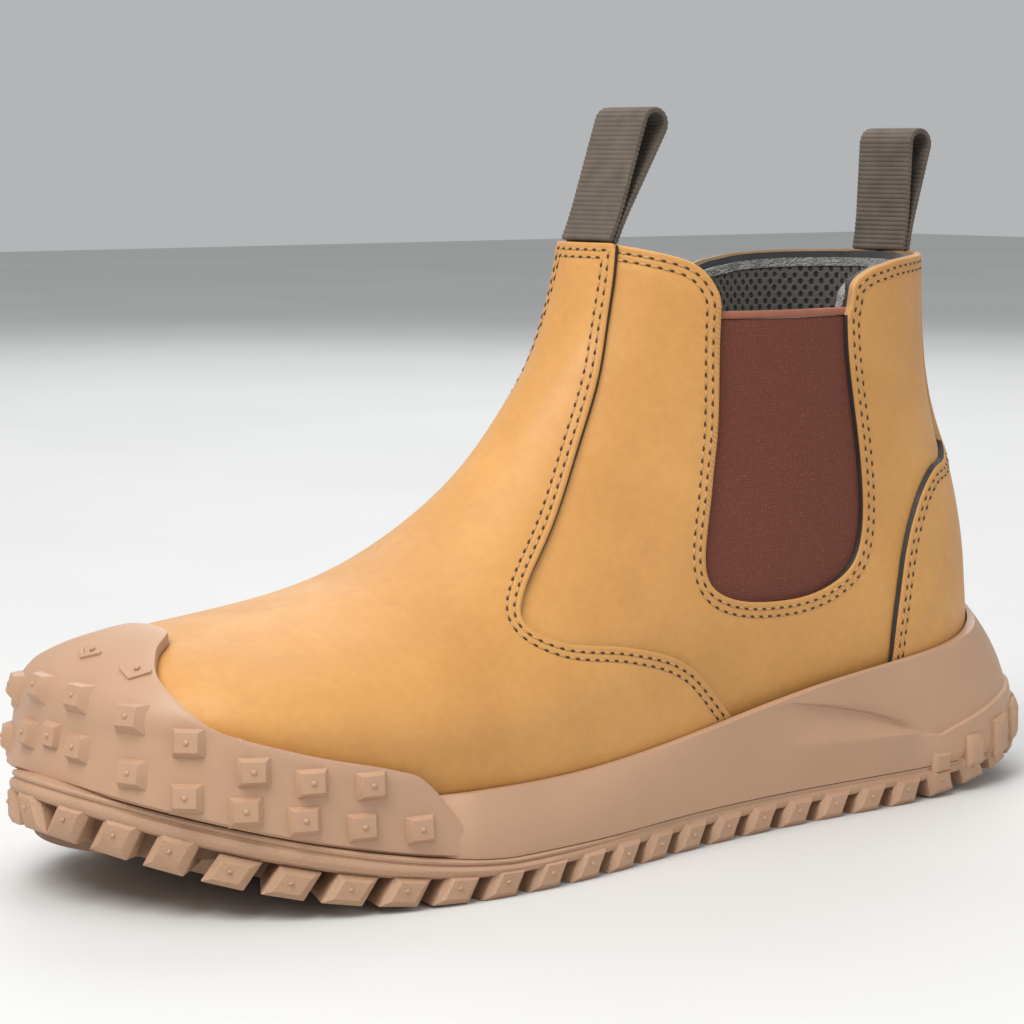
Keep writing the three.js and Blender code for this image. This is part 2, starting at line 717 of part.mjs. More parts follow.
const boot = new THREE.Group();
const pieces = new THREE.Group(); // moved across so that the sole is centred on y = 0
pieces.position.y = CENTRE_SHIFT;
boot.add(pieces);
function add(name, geometry, look) {
  const mesh = new THREE.Mesh(geometry, new THREE.MeshStandardMaterial(look));
  mesh.name = name;
  pieces.add(mesh);
  return mesh;
}
const addSolid = (name, solid, look) => add(name, geometryOf(solid), look);
const addLayer = (name, pattern, outer, inner, look, cuts = {}) =>
  addSolid(name, panel(pattern, outer, inner, cuts).intersect(upperTrim), look);

addSolid("outsole", buildOutsole(), SOLE);
addSolid("midsole", buildMidsole(), SOLE);
addSolid("toe_guard", buildGuard(), SOLE);
add("shank", shankBox(0), STEEL);

addLayer("vamp", vampPattern, 0, LEATHER, WHEAT);
for (const [side, turn] of [
  ["lateral", (pattern) => pattern],
  ["medial", (pattern) => mirrorV(pattern)],
]) {
  const openings = [turn(goreOpening)];
  addLayer(`quarter_${side}`, turn(quarterPattern), LAYER_1, LAYER_1 + LEATHER, WHEAT, { openings });
  addLayer(`gore_${side}`, turn(gorePattern), LAYER_2, LAYER_2 + GORE, ELASTIC);
}
addLayer("backstay", backstayPattern, 0, LEATHER, WHEAT);

addLayer("steel_toe_cap", capPattern, LAYER_1, LAYER_1 + LEATHER, STEEL);
addLayer("toe_cap_edge_trim", trimPattern, LAYER_2, LAYER_2 + GORE, TRIM);
addLayer("heel_stiffener", stiffenerPattern, LAYER_2 + 2 * GAP, LAYER_2 + GORE, FIBRE);
addLayer("vamp_lining", frontLiningPattern, LAYER_3, CAVITY, MESH);
addLayer("quarter_lining", rearLiningPattern, LAYER_3, CAVITY, MESH);

const tapeIn = LAYER_2 + TAPE_THICK;
const tailOut = tapeIn + GAP;
const tailIn = tailOut + TAPE_THICK;
addLayer("collar_tape_front", band(...FRONT_TAPE_U, ...FRONT_TAPE_V), LAYER_2, tapeIn, TAPE);
addLayer("collar_tape_rear", band(...REAR_TAPE_U, ...REAR_TAPE_V), LAYER_2, tapeIn, TAPE);
addLayer("front_loop_tail", band(...TAIL_U, -TAIL_V, TAIL_V), tailOut, tailIn, TAPE);
addLayer("rear_loop_tail", band(...TAIL_U, 1 - TAIL_V, 1 + TAIL_V), tailOut, tailIn, TAPE);

const boardLayer = groundedLayer(boardBottom, boardTop);
addSolid("insole_board", lastSolid(2 * GAP).intersect(boardLayer), FIBRE);
const cavity = lastSolid(CAVITY + FOOTBED_CLEARANCE);
const footbedLow = upperFloor + GAP;
const coverLow = footbedLow + FOOTBED + GAP;
addSolid("footbed", cavity.intersect(groundedLayer(footbedLow, footbedLow + FOOTBED)), FOAM);
addSolid("footbed_cover", cavity.intersect(groundedLayer(coverLow, coverLow + COVER)), MESH);

add("front_pull_loop", pullLoop(FRONT_LOOP_HEIGHT, FRONT_LEAN), TAPE).position.set(...FRONT_LOOP_AT);
add("rear_pull_loop", pullLoop(REAR_LOOP_HEIGHT, REAR_LEAN), TAPE).position.set(...REAR_LOOP_AT);

export default boot;
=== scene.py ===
"""The finished look of a left pull-on safety boot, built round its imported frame.

Lengths in the dataclasses are millimetres: +X to the toe, +Y to the outer side, +Z up. Meshes are
made in metres, in the frame of the CAD nodes.
"""

import json
import logging
import math
from dataclasses import dataclass, field
from enum import Enum
from typing import Callable, Iterable, Sequence

import bmesh
import bpy
import numpy as np
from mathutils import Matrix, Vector
from mathutils.geometry import delaunay_2d_cdt
from mathutils.kdtree import KDTree

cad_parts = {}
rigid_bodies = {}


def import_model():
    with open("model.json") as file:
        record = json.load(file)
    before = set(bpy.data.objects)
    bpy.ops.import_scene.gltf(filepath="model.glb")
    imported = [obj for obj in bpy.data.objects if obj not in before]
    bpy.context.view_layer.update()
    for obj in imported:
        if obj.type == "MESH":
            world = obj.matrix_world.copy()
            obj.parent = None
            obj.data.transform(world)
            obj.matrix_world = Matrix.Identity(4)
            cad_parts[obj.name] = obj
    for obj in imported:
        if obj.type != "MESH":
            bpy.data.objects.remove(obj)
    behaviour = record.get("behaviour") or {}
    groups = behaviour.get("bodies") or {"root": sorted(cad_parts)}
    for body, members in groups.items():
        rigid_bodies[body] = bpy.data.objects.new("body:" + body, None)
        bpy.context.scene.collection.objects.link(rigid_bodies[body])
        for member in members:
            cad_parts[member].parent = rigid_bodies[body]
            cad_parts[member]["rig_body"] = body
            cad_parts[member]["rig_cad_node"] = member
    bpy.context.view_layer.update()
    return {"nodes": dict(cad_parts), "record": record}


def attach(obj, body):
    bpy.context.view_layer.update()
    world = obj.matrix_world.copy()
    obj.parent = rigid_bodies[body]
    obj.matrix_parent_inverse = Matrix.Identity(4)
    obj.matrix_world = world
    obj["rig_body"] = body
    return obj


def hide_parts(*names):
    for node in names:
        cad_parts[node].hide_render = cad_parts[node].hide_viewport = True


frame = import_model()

MM = 0.001
SHIFT = np.array([0.0, 0.8, 0.0])  # the last stands this far from the middle of the frame
BODY = "boot"
log = logging.getLogger("boot")

Array = np.ndarray
Shell = tuple[Array, list[tuple[int, ...]]]  # the vertices and the faces of a closed shell
Wrap = Callable[[Array, Array, Array], Array]
Piece = bpy.types.Object
Socket = bpy.types.NodeSocket


# ---- Curves and small mesh tools ----


def smoothstep(value: Array | float) -> Array:
    """An eased step from 0 to 1 over 0 to 1."""
    x = np.clip(value, 0.0, 1.0)
    return x * x * (3 - 2 * x)


def smooth_curve(points: Sequence[Sequence[float]], steps: int = 10) -> Array:
    """A smooth curve through given points.

    Args:
        points: the points, in order.
        steps: how many steps to take between two of them.

    Returns:
        The points of the curve, ends included.
    """
    p = np.asarray(points, float)
    p = np.vstack([p[:1], p, p[-1:]])
    t = np.linspace(0, 1, steps, endpoint=False)[:, None]
    parts = []
    for a, b, c, d in zip(p[:-3], p[1:-2], p[2:-1], p[3:]):
        slope_b, slope_c = (c - a) / 2, (d - b) / 2
        rise = 3 * (c - b) - 2 * slope_b - slope_c
        turn = 2 * (b - c) + slope_b + slope_c
        parts.append(b + slope_b * t + rise * t**2 + turn * t**3)
    return np.vstack([*parts, p[-1:]])


def natural_spline(values: Array, at: Array) -> Array:
    """Rows of values, joined by a natural cubic spline.

    Args:
        values: one row per knot.
        at: places on the spline, counted in knots.

    Returns:
        One row per place.
    """
    n = len(values)
    system = np.eye(n)
    right = np.zeros_like(values)
    for i in range(1, n - 1):
        system[i, i - 1 : i + 2] = (1, 4, 1)
        right[i] = 6 * (values[i + 1] - 2 * values[i] + values[i - 1])
    curving = np.linalg.solve(system, right)
    i = np.clip(at.astype(int), 0, n - 2)
    f = (at - i)[:, None]
    g = 1 - f
    return g * values[i] + f * values[i + 1] + ((g**3 - g) * curving[i] + (f**3 - f) * curving[i + 1]) / 6


def closed_spline(points: Array, knots: Array, length: float, at: Array) -> Array:
    """A smooth closed curve through points.

    Args:
        points: one row per knot.
        knots: where each point lies, from 0 to length.
        length: where the curve is back at its first point.
        at: the places asked for.

    Returns:
        One row per place.
    """
    n = len(points)
    gaps = np.diff(np.append(knots, length))
    system = np.zeros((n, n))
    right = np.zeros_like(points)
    for i in range(n):
        before, after = gaps[i - 1], gaps[i]
        system[i, i - 1] += before
        system[i, i] += 2 * (before + after)
        system[i, (i + 1) % n] += after
        rise = (points[(i + 1) % n] - points[i]) / after
        right[i] = 6 * (rise - (points[i] - points[i - 1]) / before)
    curving = np.linalg.solve(system, right)
    at = np.mod(at, length)
    i = np.clip(np.searchsorted(knots, at, side="right") - 1, 0, n - 1)
    j = (i + 1) % n
    gap = gaps[i][:, None]
    f = (at - knots[i])[:, None] / gap
    g = 1 - f
    bend = ((g**3 - g) * curving[i] + (f**3 - f) * curving[j]) * gap**2 / 6
    return g * points[i] + f * points[j] + bend


def respaced(points: Array, solid: Array, step: float) -> Array:
    """Puts the points of a line at equal distances.

    Args:
        points: the line, in any coordinates.
        solid: the same line in millimetres, which sets the distances.
        step: the distance wanted.

    Returns:
        The line's points, ends included.
    """
    travelled = np.append(0, np.cumsum(np.linalg.norm(np.diff(solid, axis=0), axis=1)))
    count = max(1, round(travelled[-1] / step))
    at = np.linspace(0, travelled[-1], count + 1)
    return np.column_stack([np.interp(at, travelled, column) for column in points.T])


def turning_point(low: Array, high: Array, past: Callable[[Array], Array], steps: int = 30) -> Array:
    """Finds by halving where a test turns from false to true.

    Args:
        low: values at which the test is false.
        high: values at which it is true.
        past: the test.
        steps: how often to halve.

    Returns:
        The values at which it turns.
    """
    for _ in range(steps):
        middle = (low + high) / 2
        over = past(middle)
        high = np.where(over, middle, high)
        low = np.where(over, low, middle)
    return (low + high) / 2


def select_only(piece: Piece) -> None:
    """Makes a piece the only one selected, and the active one."""
    bpy.ops.object.select_all(action="DESELECT")
    piece.select_set(True)
    bpy.context.view_layer.objects.active = piece


def mesh_piece(name: str, vertices: Array, faces: Iterable[Sequence[int]]) -> Piece:
    """Makes an object of vertices in millimetres.

    Args:
        name: the piece's name.
        vertices: one row per vertex.
        faces: the vertex numbers of each face.

    Returns:
        The new object, at the origin.
    """
    mesh = bpy.data.meshes.new(name)
    mesh.from_pydata((np.asarray(vertices, float) * MM).tolist(), [], [list(map(int, f)) for f in faces])
    mesh.update()
    piece = bpy.data.objects.new(name, mesh)
    bpy.context.scene.collection.objects.link(piece)
    return piece


def unit_mesh(piece: Piece) -> Shell:
    """Takes the mesh of a modelled unit, in its own units, and removes the unit.

    Args:
        piece: the modelled unit.

    Returns:
        Its vertices and its faces.
    """
    select_only(piece)
    bpy.ops.object.transform_apply(location=True, rotation=True, scale=True)
    vertices = np.array([v.co for v in piece.data.vertices], float)
    faces = [tuple(p.vertices) for p in piece.data.polygons]
    bpy.data.objects.remove(piece)
    return vertices, faces


def joined(name: str, parts: Sequence[Shell]) -> Piece:
    """Joins several closed shells into one piece.

    Args:
        name: the piece's name.
        parts: the vertices and faces of each shell.

    Returns:
        The joined piece.
    """
    faces, start = [], 0
    for vertices, own in parts:
        faces += [[start + i for i in f] for f in own]
        start += len(vertices)
    return mesh_piece(name, np.vstack([v for v, _ in parts]), faces)


def modified(piece: Piece, kind: str, **settings: object) -> Piece:
    """Adds a modifier to a piece and applies it."""
    select_only(piece)
    modifier = piece.modifiers.new(kind.title(), kind)
    for key, value in settings.items():
        setattr(modifier, key, value)
    bpy.ops.object.modifier_apply(modifier=modifier.name)
    return piece


def shaded(piece: Piece, degrees: float = 35.0) -> Piece:
    """Shades a piece smooth, but for edges sharper than an angle."""
    select_only(piece)
    bpy.ops.object.shade_smooth_by_angle(angle=math.radians(degrees))
    return piece


def closed_shell(piece: Piece, distance: float = 1e-6) -> Piece:
    """Merges the doubles of a closed mesh and turns its faces outwards."""
    shell = bmesh.new()
    shell.from_mesh(piece.data)
    bmesh.ops.remove_doubles(shell, verts=shell.verts, dist=distance)
    bmesh.ops.dissolve_degenerate(shell, edges=shell.edges, dist=distance)
    bmesh.ops.recalc_face_normals(shell, faces=shell.faces)
    shell.to_mesh(piece.data)
    shell.free()
    return piece


def settled(piece: Piece, node: str, body: str = BODY) -> Piece:
    """Says which body a finished piece rides on, hides the node it stands for, and logs it."""
    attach(piece, body)
    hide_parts(node)
    log.info("%s: %d faces", piece.name, len(piece.data.polygons))
    return piece


def bevelled_cube(width: float) -> Shell:
    """A unit cube with rounded edges."""
    bpy.ops.mesh.primitive_cube_add(size=1)
    return unit_mesh(modified(bpy.context.object, "BEVEL", width=width, segments=2, limit_method="ANGLE"))


# ---- Finishes ----


class Shader:
    """Builds the nodes of one material."""

    def __init__(self, name: str, space: str = "Object") -> None:
        """Starts a material whose patterns lie in Object or UV coordinates."""
        self.material = bpy.data.materials.new(name)
        self.material.use_nodes = True
        self.tree = self.material.node_tree
        self.surface = self.tree.nodes["Principled BSDF"]
        self.coordinates = self.tree.nodes.new("ShaderNodeTexCoord").outputs[space]

    def feed(self, socket: Socket, value: object) -> None:
        """Links a socket to another one, or sets its value."""
        if isinstance(value, Socket):
            self.tree.links.new(value, socket)
        else:
            socket.default_value = value

    def node(self, kind: str, **inputs: object) -> bpy.types.Node:
        """Adds a node.

        Args:
            kind: the node's type, without its ShaderNode prefix.
            inputs: sockets by name, spaces as underscores; a socket is linked, a value is set.

        Returns:
            The node.
        """
        made = self.tree.nodes.new("ShaderNode" + kind)
        for key, value in inputs.items():
            self.feed(made.inputs[key.replace("_", " ")], value)
        return made

    def noise(self, size: float, detail: float = 3.0, rough: float = 0.55) -> Socket:
        """Noise whose features are about a size in millimetres."""
        made = self.node("TexNoise", Vector=self.coordinates, Scale=1 / (size * MM))
        made.inputs["Detail"].default_value = detail
        made.inputs["Roughness"].default_value = rough
        return made.outputs["Fac"]

    def cells(self, size: float, feature: str = "F1") -> Socket:
        """Distance pattern of cells about a size in millimetres."""
        made = self.node("TexVoronoi", Vector=self.coordinates, Scale=1 / (size * MM))
        made.feature = feature
        return made.outputs["Distance"]

    def waves(self, pitch: float, axis: str) -> Socket:
        """Straight ribs at a pitch in millimetres, counted along an axis."""
        made = self.node("TexWave", Vector=self.coordinates, Scale=math.pi / (10 * pitch * MM))
        made.bands_direction = axis
        return made.outputs["Fac"]

    def mapped(self, value: Socket, stops: Sequence[float]) -> Socket:
        """Stretches a value from the range stops[0:2] to the range stops[2:4]."""
        made = self.node("MapRange", Value=value)
        for name, stop in zip(("From Min", "From Max", "To Min", "To Max"), stops):
            made.inputs[name].default_value = stop
        return made.outputs["Result"]

    def math(self, operation: str, a: object, b: object) -> Socket:
        """Combines two values."""
        made = self.tree.nodes.new("ShaderNodeMath")
        made.operation = operation
        for socket, value in zip(made.inputs, (a, b)):
            self.feed(socket, value)
        return made.outputs[0]

    def colours(
        self, fac: Socket, stops: Sequence[tuple[float, Sequence[float]]]
    ) -> Socket:
        """Colours along a value.

        Args:
            fac: the value.
            stops: places from 0 to 1, each with its linear colour.

        Returns:
            The colour socket.
        """
        made = self.node("ValToRGB", Fac=fac)
        ramp = made.color_ramp
        while len(ramp.elements) < len(stops):
            ramp.elements.new(0.5)
        for element, (place, colour) in zip(ramp.elements, stops):
            element.position = place
            element.color = (*colour, 1)
        return made.outputs["Color"]

    def mixed(self, fac: Socket, a: object, b: object) -> Socket:
        """Mixes two colours by a value."""
        made = self.tree.nodes.new("ShaderNodeMix")
        made.data_type = "RGBA"
        self.tree.links.new(fac, made.inputs[0])
        for index, value in ((6, a), (7, b)):
            self.feed(made.inputs[index], value if isinstance(value, Socket) else (*value, 1))
        return made.outputs[2]

    def bumps(self, layers: Sequence[tuple[Socket, float]]) -> None:
        """Lays bump layers over each other, each a height pattern and its depth in millimetres."""
        normal = None
        for height, depth in layers:
            made = self.node("Bump", Height=height, Distance=depth * MM)
            if normal is not None:
                self.tree.links.new(normal, made.inputs["Normal"])
            normal = made.outputs["Normal"]
        self.tree.links.new(normal, self.surface.inputs["Normal"])

    def finished(self, colour: Socket, rough: object, **fixed: object) -> bpy.types.Material:
        """Sets the surface.

        Args:
            colour: the base colour socket.
            rough: roughness, as a value or a socket.
            fixed: other surface sockets by name, spaces as underscores, each set to a value.

        Returns:
            The material.
        """
        self.tree.links.new(colour, self.surface.inputs["Base Color"])
        self.feed(self.surface.inputs["Roughness"], rough)
        for key, value in fixed.items():
            self.surface.inputs[key.replace("_", " ")].default_value = value
        return self.material


@dataclass(frozen=True)
class Leather:
    """Smooth oiled wheat nubuck, with a fine grain and cloudy tone."""

    name: str = "wheat_leather"
    dark: tuple[float, ...] = (0.50, 0.235, 0.058)
    mid: tuple[float, ...] = (0.56, 0.272, 0.070)
    light: tuple[float, ...] = (0.62, 0.312, 0.086)

    def build(self) -> bpy.types.Material:
        """Returns the material."""
        s = Shader(self.name)
        clouds = s.math("MULTIPLY", s.noise(45, 4), 0.75)
        tone = s.math("ADD", clouds, s.math("MULTIPLY", s.noise(2.5, 5), 0.25))
        colour = s.colours(tone, [(0.34, self.dark), (0.5, self.mid), (0.66, self.light)])
        pores = s.mapped(s.cells(0.55), (0.0, 0.35, 1.0, 0.0))
        speckled = s.mixed(s.math("MULTIPLY", pores, 0.10), colour, self.dark)
        pressed = s.node("Attribute")
        pressed.attribute_name = "rim"
        edged = s.mixed(s.math("MULTIPLY", pressed.outputs["Fac"], 0.30), speckled, self.dark)
        s.bumps([(s.noise(6, 2), 0.05), (s.noise(0.9, 4), 0.035), (s.cells(0.7), 0.02)])
        rough = s.mapped(s.noise(12, 4), (0.3, 0.7, 0.46, 0.60))
        return s.finished(edged, rough, Specular_IOR_Level=0.42, Sheen_Weight=0.08, Sheen_Roughness=0.5)


@dataclass(frozen=True)
class Plain:
    """A finish of one hue with clouds and a grain: rubber, painted edge, thread, fibre board."""

    name: str
    hue: tuple[float, float, float]
    spread: float = 0.12
    grain: float = 0.4
    depth: float = 0.03
    cloud: float = 20.0
    rough: tuple[float, float] = (0.5, 0.65)
    metal: float = 0.0
    sheen: float = 0.0

    def build(self) -> bpy.types.Material:
        """Returns the material."""
        s = Shader(self.name)
        clouds = s.math("MULTIPLY", s.noise(self.cloud, 4), 0.7)
        tone = s.math("ADD", clouds, s.math("MULTIPLY", s.noise(self.grain, 2), 0.3))
        low, high = (tuple(c * (1 + side * self.spread) for c in self.hue) for side in (-1, 1))
        colour = s.colours(tone, [(0.35, low), (0.65, high)])
        s.bumps([(s.noise(self.grain * 8, 3), self.depth), (s.cells(self.grain), self.depth)])
        rough = s.mapped(s.noise(self.cloud / 2, 3), (0.3, 0.7, *self.rough))
        return s.finished(colour, rough, Metallic=self.metal, Sheen_Weight=self.sheen)


@dataclass(frozen=True)
class Ribbed:
    """Woven elastic: fine upright ribs crossed by the weft, in UV millimetres, with painted shade in the low
    valleys of the weave.
    """

    name: str = "rust_elastic"
    thread: tuple[float, float, float] = (0.180, 0.055, 0.033)
    # colour of the weave's valleys, darker as painted shade
    valley_shade: tuple[float, float, float] = (0.105, 0.029, 0.017)
    pitch: float = 0.62
    weft: float = 0.62

    def build(self) -> bpy.types.Material:
        """Returns the material."""
        s = Shader(self.name, "UV")
        ribs, weft = s.waves(self.pitch, "X"), s.waves(self.weft, "Y")
        weave = s.math("MULTIPLY", s.mapped(ribs, (0, 1, 0.35, 1)), s.mapped(weft, (0, 1, 0.55, 1)))
        # the weave's low parts get the valley colour: painted shade in the grooves between the ribs
        colour = s.colours(weave, [(0.15, self.valley_shade), (0.85, self.thread)])
        flecks = s.mapped(s.noise(0.8, 2), (0.60, 0.72, 0, 0.35))
        flecked = s.mixed(flecks, colour, tuple(2.4 * c for c in self.thread))
        s.bumps([(weave, 0.16), (s.noise(0.5, 2), 0.05)])
        return s.finished(flecked, 0.86, Sheen_Weight=0.06, Specular_IOR_Level=0.25)


@dataclass(frozen=True)
class Mesh3D:
    """Open spacer mesh: light yarns round holes coloured near black as painted shade, in UV millimetres."""

    name: str = "lining_mesh"
    yarn: tuple[float, float, float] = (0.098, 0.089, 0.078)
    # colour of the holes: painted shade
    hole: tuple[float, float, float] = (0.012, 0.011, 0.010)
    size: float = 2.2

    def build(self) -> bpy.types.Material:
        """Returns the material."""
        s = Shader(self.name, "UV")
        stretch = s.node("Mapping", Vector=s.coordinates)
        stretch.inputs["Scale"].default_value = (1.0, 0.82, 1.0)
        turned = s.node("Mapping", Vector=stretch.outputs["Vector"])
        turned.inputs["Rotation"].default_value = (0, 0, math.radians(45))
        s.coordinates = turned.outputs["Vector"]
        made = s.node("TexVoronoi", Vector=s.coordinates, Scale=1 / (self.size * MM), Randomness=0.18)
        gap = s.mapped(made.outputs["Distance"], (0.22, 0.42, 0, 1))
        # the holes are only a bump; their near-black colour is painted shade
        colour = s.colours(gap, [(0.1, self.hole), (0.8, self.yarn)])
        s.bumps([(gap, 0.5), (s.noise(0.4, 2), 0.08)])
        return s.finished(colour, 0.9, Sheen_Weight=0.3)


class Look(Enum):
    """The finishes of the boot."""

    LEATHER = Leather()
    CUT_EDGE = Plain("cut_edge_black", (0.018, 0.017, 0.017), grain=0.3, depth=0.05, cloud=3)
    RAW_EDGE = Plain("collar_edge_tan", (0.42, 0.24, 0.10), grain=0.3, depth=0.05, cloud=4)
    THREAD = Plain("waxed_thread", (0.50, 0.27, 0.10), grain=0.2, depth=0.03, cloud=6)
    # finish of the dark needle-hole ellipsoids: painted shade inside the holes
    NEEDLE = Plain("needle_holes", (0.040, 0.019, 0.009), grain=0.2, depth=0.01, cloud=4)
    SOLE = Plain("sole_polyurethane", (0.455, 0.272, 0.168), 0.05, 0.35, 0.012, 35, (0.42, 0.55))
    TREAD = Plain("tread_rubber", (0.435, 0.260, 0.160), 0.08, 0.7, 0.09, 25, (0.5, 0.66))
    ELASTIC = Ribbed()
    HEM = Plain("elastic_hem", (0.30, 0.105, 0.060), grain=0.3, depth=0.05, cloud=5, rough=(0.7, 0.85))
    WEBBING = Plain("taupe_webbing", (0.105, 0.080, 0.060), 0.25, 0.25, 0.05, 6, (0.72, 0.9), sheen=0.1)
    MESH = Mesh3D()
    TAPE = Plain("black_tape", (0.030, 0.030, 0.031), 0.3, 0.35, 0.08, 4, (0.7, 0.9), sheen=0.3)
    FRAYED = Plain("lining_edge", (0.24, 0.235, 0.225), 0.5, 0.6, 0.4, 2.5, (0.85, 0.95), sheen=0.5)
    COVER = Plain("cover_knit", (0.060, 0.058, 0.055), 0.3, 0.6, 0.15, 8, (0.8, 0.95), sheen=0.3)
    STEEL = Plain("pressed_steel", (0.55, 0.56, 0.57), 0.06, 0.6, 0.01, 18, (0.28, 0.42), metal=1.0)
    BOARD = Plain("fibre_board", (0.62, 0.52, 0.38), 0.15, 0.5, 0.06, 12, (0.8, 0.95))
    FOAM = Plain("footbed_foam", (0.050, 0.054, 0.060), 0.2, 0.7, 0.12, 9, (0.8, 0.92))
    TRIM = Plain("soft_rubber_strip", (0.022, 0.022, 0.022), 0.2, 0.5, 0.03, 10, (0.5, 0.7))

    def material(self) -> bpy.types.Material:
        """The finish's material, built when it is first asked for."""
        found = bpy.data.materials.get(self.value.name)
        return found or self.value.build()


def dress(piece: Piece, slot: str, *looks: Look) -> Piece:
    """Gives a piece its finishes.

    Args:
        piece: the piece, whose faces' material numbers pick among the looks.
        slot: the record's material slot; not used.
        looks: the finishes.

    Returns:
        The piece.
    """
    for index, look in enumerate(looks):
        if index < len(piece.data.materials):
            piece.data.materials[index] = look.material()
        else:
            piece.data.materials.append(look.material())
    return piece


# ---- The last ----


@dataclass(frozen=True)
class Ground:
    """The line that the tread stands on: flat, with the toe and the heel rising."""

    toe_rise: float = 20.0
    toe_break: float = 60.0
    toe_run: float = 92.0
    heel_rise: float = 7.0
    heel_break: float = -122.0
    heel_run: float = 33.0
    power: float = 1.5
    tread_toe: tuple[float, float, float, float] = (60.0, 92.0, 16.0, 2.4)  # from, run, rise and power
    tread_heel: tuple[float, float, float, float] = (-88.0, -65.0, 9.0, 1.4)

    def drop(self, x: Array) -> Array:
        """How far under this line the tread's own lowest points are, at x."""
        ends = (self.tread_toe, self.tread_heel)
        tread = [rise * np.maximum(0, (x - start) / run) ** power for start, run, rise, power in ends]
        return self.height(x) - tread[0] - tread[1]

    def height(self, x: Array) -> Array:
        """Height of the line at x."""
        toe = np.maximum(0, (x - self.toe_break) / self.toe_run)
        heel = np.maximum(0, (self.heel_break - x) / self.heel_run)
        return self.toe_rise * toe**self.power + self.heel_rise * heel**self.power


@dataclass(frozen=True)
class Last:
    """The foot form under the upper: u runs from the toe tip to the collar, v round each section.

    Each section holds its front point x, z; back point x, z; half width outside and inside; centre
    y; roundness; and fullness below.
    """

    sections: tuple[tuple[float, ...], ...] = (
        (147, 43, 147, 43, 0, 0, -8, 2.2, 0.05),
        (145, 50, 144, 35, 22, 22, -7, 2.2, 0.06),
        (137, 56.5, 135, 33, 36, 36, -6, 2.3, 0.08),
        (122, 62, 118, 28, 45, 45, -4, 2.3, 0.1),
        (98, 66, 90, 22, 50, 49, -2, 2.2, 0.14),
        (72, 72, 56, 18, 50, 48, 0, 2.1, 0.18),
        (49, 82.5, 15, 18, 46, 43, 0, 2.1, 0.18),
        (30, 97, -40, 18, 41, 37, 0, 2.1, 0.13),
        (16, 112, -98, 18, 39, 36, 0, 2.2, 0.06),
        (6, 125, -133, 26, 38, 36, 0, 2.3, 0.03),
        (0, 137.5, -136, 68, 38, 36, 0, 2.3, 0),
        (-3.5, 148.5, -123, 108, 39, 37, 0, 2.3, 0),
        (-5.5, 159.5, -119, 152, 40, 38, 0, 2.3, 0),
    )
    ground: Ground = Ground()
    box_roundness: float = 3.2
    full_inset: float = 30.0
    top_rise: float = 330.0
    toe_zone: float = 0.25
    shaft_from: float = 0.66  # the sections turn from the foot's to the shaft's from this u on
    floor: float = 21.4  # height over the ground line where the upper's pieces end
    collar_front: tuple[tuple[float, float], ...] = (
        (60, 155), (-6, 154.4), (-10, 153.3), (-17, 151), (-20.5, 149.4), (-23.5, 147), (-26, 143.3),
        (-27.5, 139.7), (-28, 136.6),
    )
    collar_rear: tuple[tuple[float, float], ...] = (
        (-68.3, 136.6), (-68.5, 140.8), (-70.5, 144), (-75, 146.2), (-81, 147.6), (-98, 149.4),
        (-160, 150.6),
    )

    def point(self, u: Array, v: Array, depth: Array) -> Array:
        """Points of the last.

        Args:
            u: places along it.
            v: places round it; 0 is the front ridge, 1 the sole or back line, and above 1 or below
                0 the inner side.
            depth: how far in from its surface; negative is outside.

        Returns:
            One row per point, in millimetres.
        """
        u, v, depth = (np.asarray(a, float).ravel() for a in np.broadcast_arrays(u, v, depth))
        v = v - 2 * np.round(v / 2)
        rows = natural_spline(np.array(self.sections, float), np.clip(u, 0.0, 1) * (len(self.sections) - 1))
        fx, fz, bx, bz, outside, inside, middle, roundness, full = rows.T
        span = np.maximum(np.hypot(bx - fx, bz - fz), 1e-6)
        inset = self.share(depth, span)
        rise = inset * smoothstep((u - self.shaft_from) / 0.08)
        toe = depth * np.maximum(0, 1 - u / self.toe_zone)
        front = np.array([fx + (bx - fx) / span * inset - toe, fz + (bz - fz) / span * inset])
        back = np.array([bx + (fx - bx) / span * rise - toe, bz + (fz - bz) / span * rise])
        cosine, sine = np.cos(np.pi * v), np.sin(np.pi * np.abs(v))
        turned = np.clip((u - self.shaft_from) / 0.14, 0, 1)
        lower = self.box_roundness + (roundness - self.box_roundness) * turned
        power = np.where(cosine < 0, lower, roundness)
        radius = (np.abs(cosine) ** power + np.abs(sine) ** power) ** (1 / power)
        across = sine / radius
        down = (1 - cosine / radius) / 2 + full * across**2
        half = np.where(v < 0, inside, outside)
        x, z = front + (back - front) * down
        y = middle + np.sign(v) * (half - self.share(depth, half)) * across
        return np.column_stack([x, y, z + self.top_rise * np.maximum(0, u - 1)]) + SHIFT

    def share(self, depth: Array, size: Array) -> Array:
        """How far a depth moves a section of a size: less where it is small."""
        return np.where(depth > 0, depth * np.minimum(1, size / self.full_inset), depth)

    def collar_height(self, x: Array) -> Array:
        """Height of the collar edge at x."""
        line = np.vstack([smooth_curve(self.collar_front[1:]), smooth_curve(self.collar_rear)])
        along = np.minimum.accumulate(line[:, 0])
        return np.interp(-x, -along, line[:, 1])

    def top(self, v: Array, depth: float, lower: float = 0.0, most: float = 999.0) -> Array:
        """The u at which a place round the boot meets the collar, or a line lower by some height."""
        v = np.atleast_1d(np.asarray(v, float))

        def over(u: Array) -> Array:
            """Whether the place at u is over the line."""
            p = self.point(u, v, depth)
            return p[:, 2] > np.minimum(self.collar_height(p[:, 0]), most) - lower

        return turning_point(np.full(v.shape, 0.70), np.full(v.shape, 1.05), over)

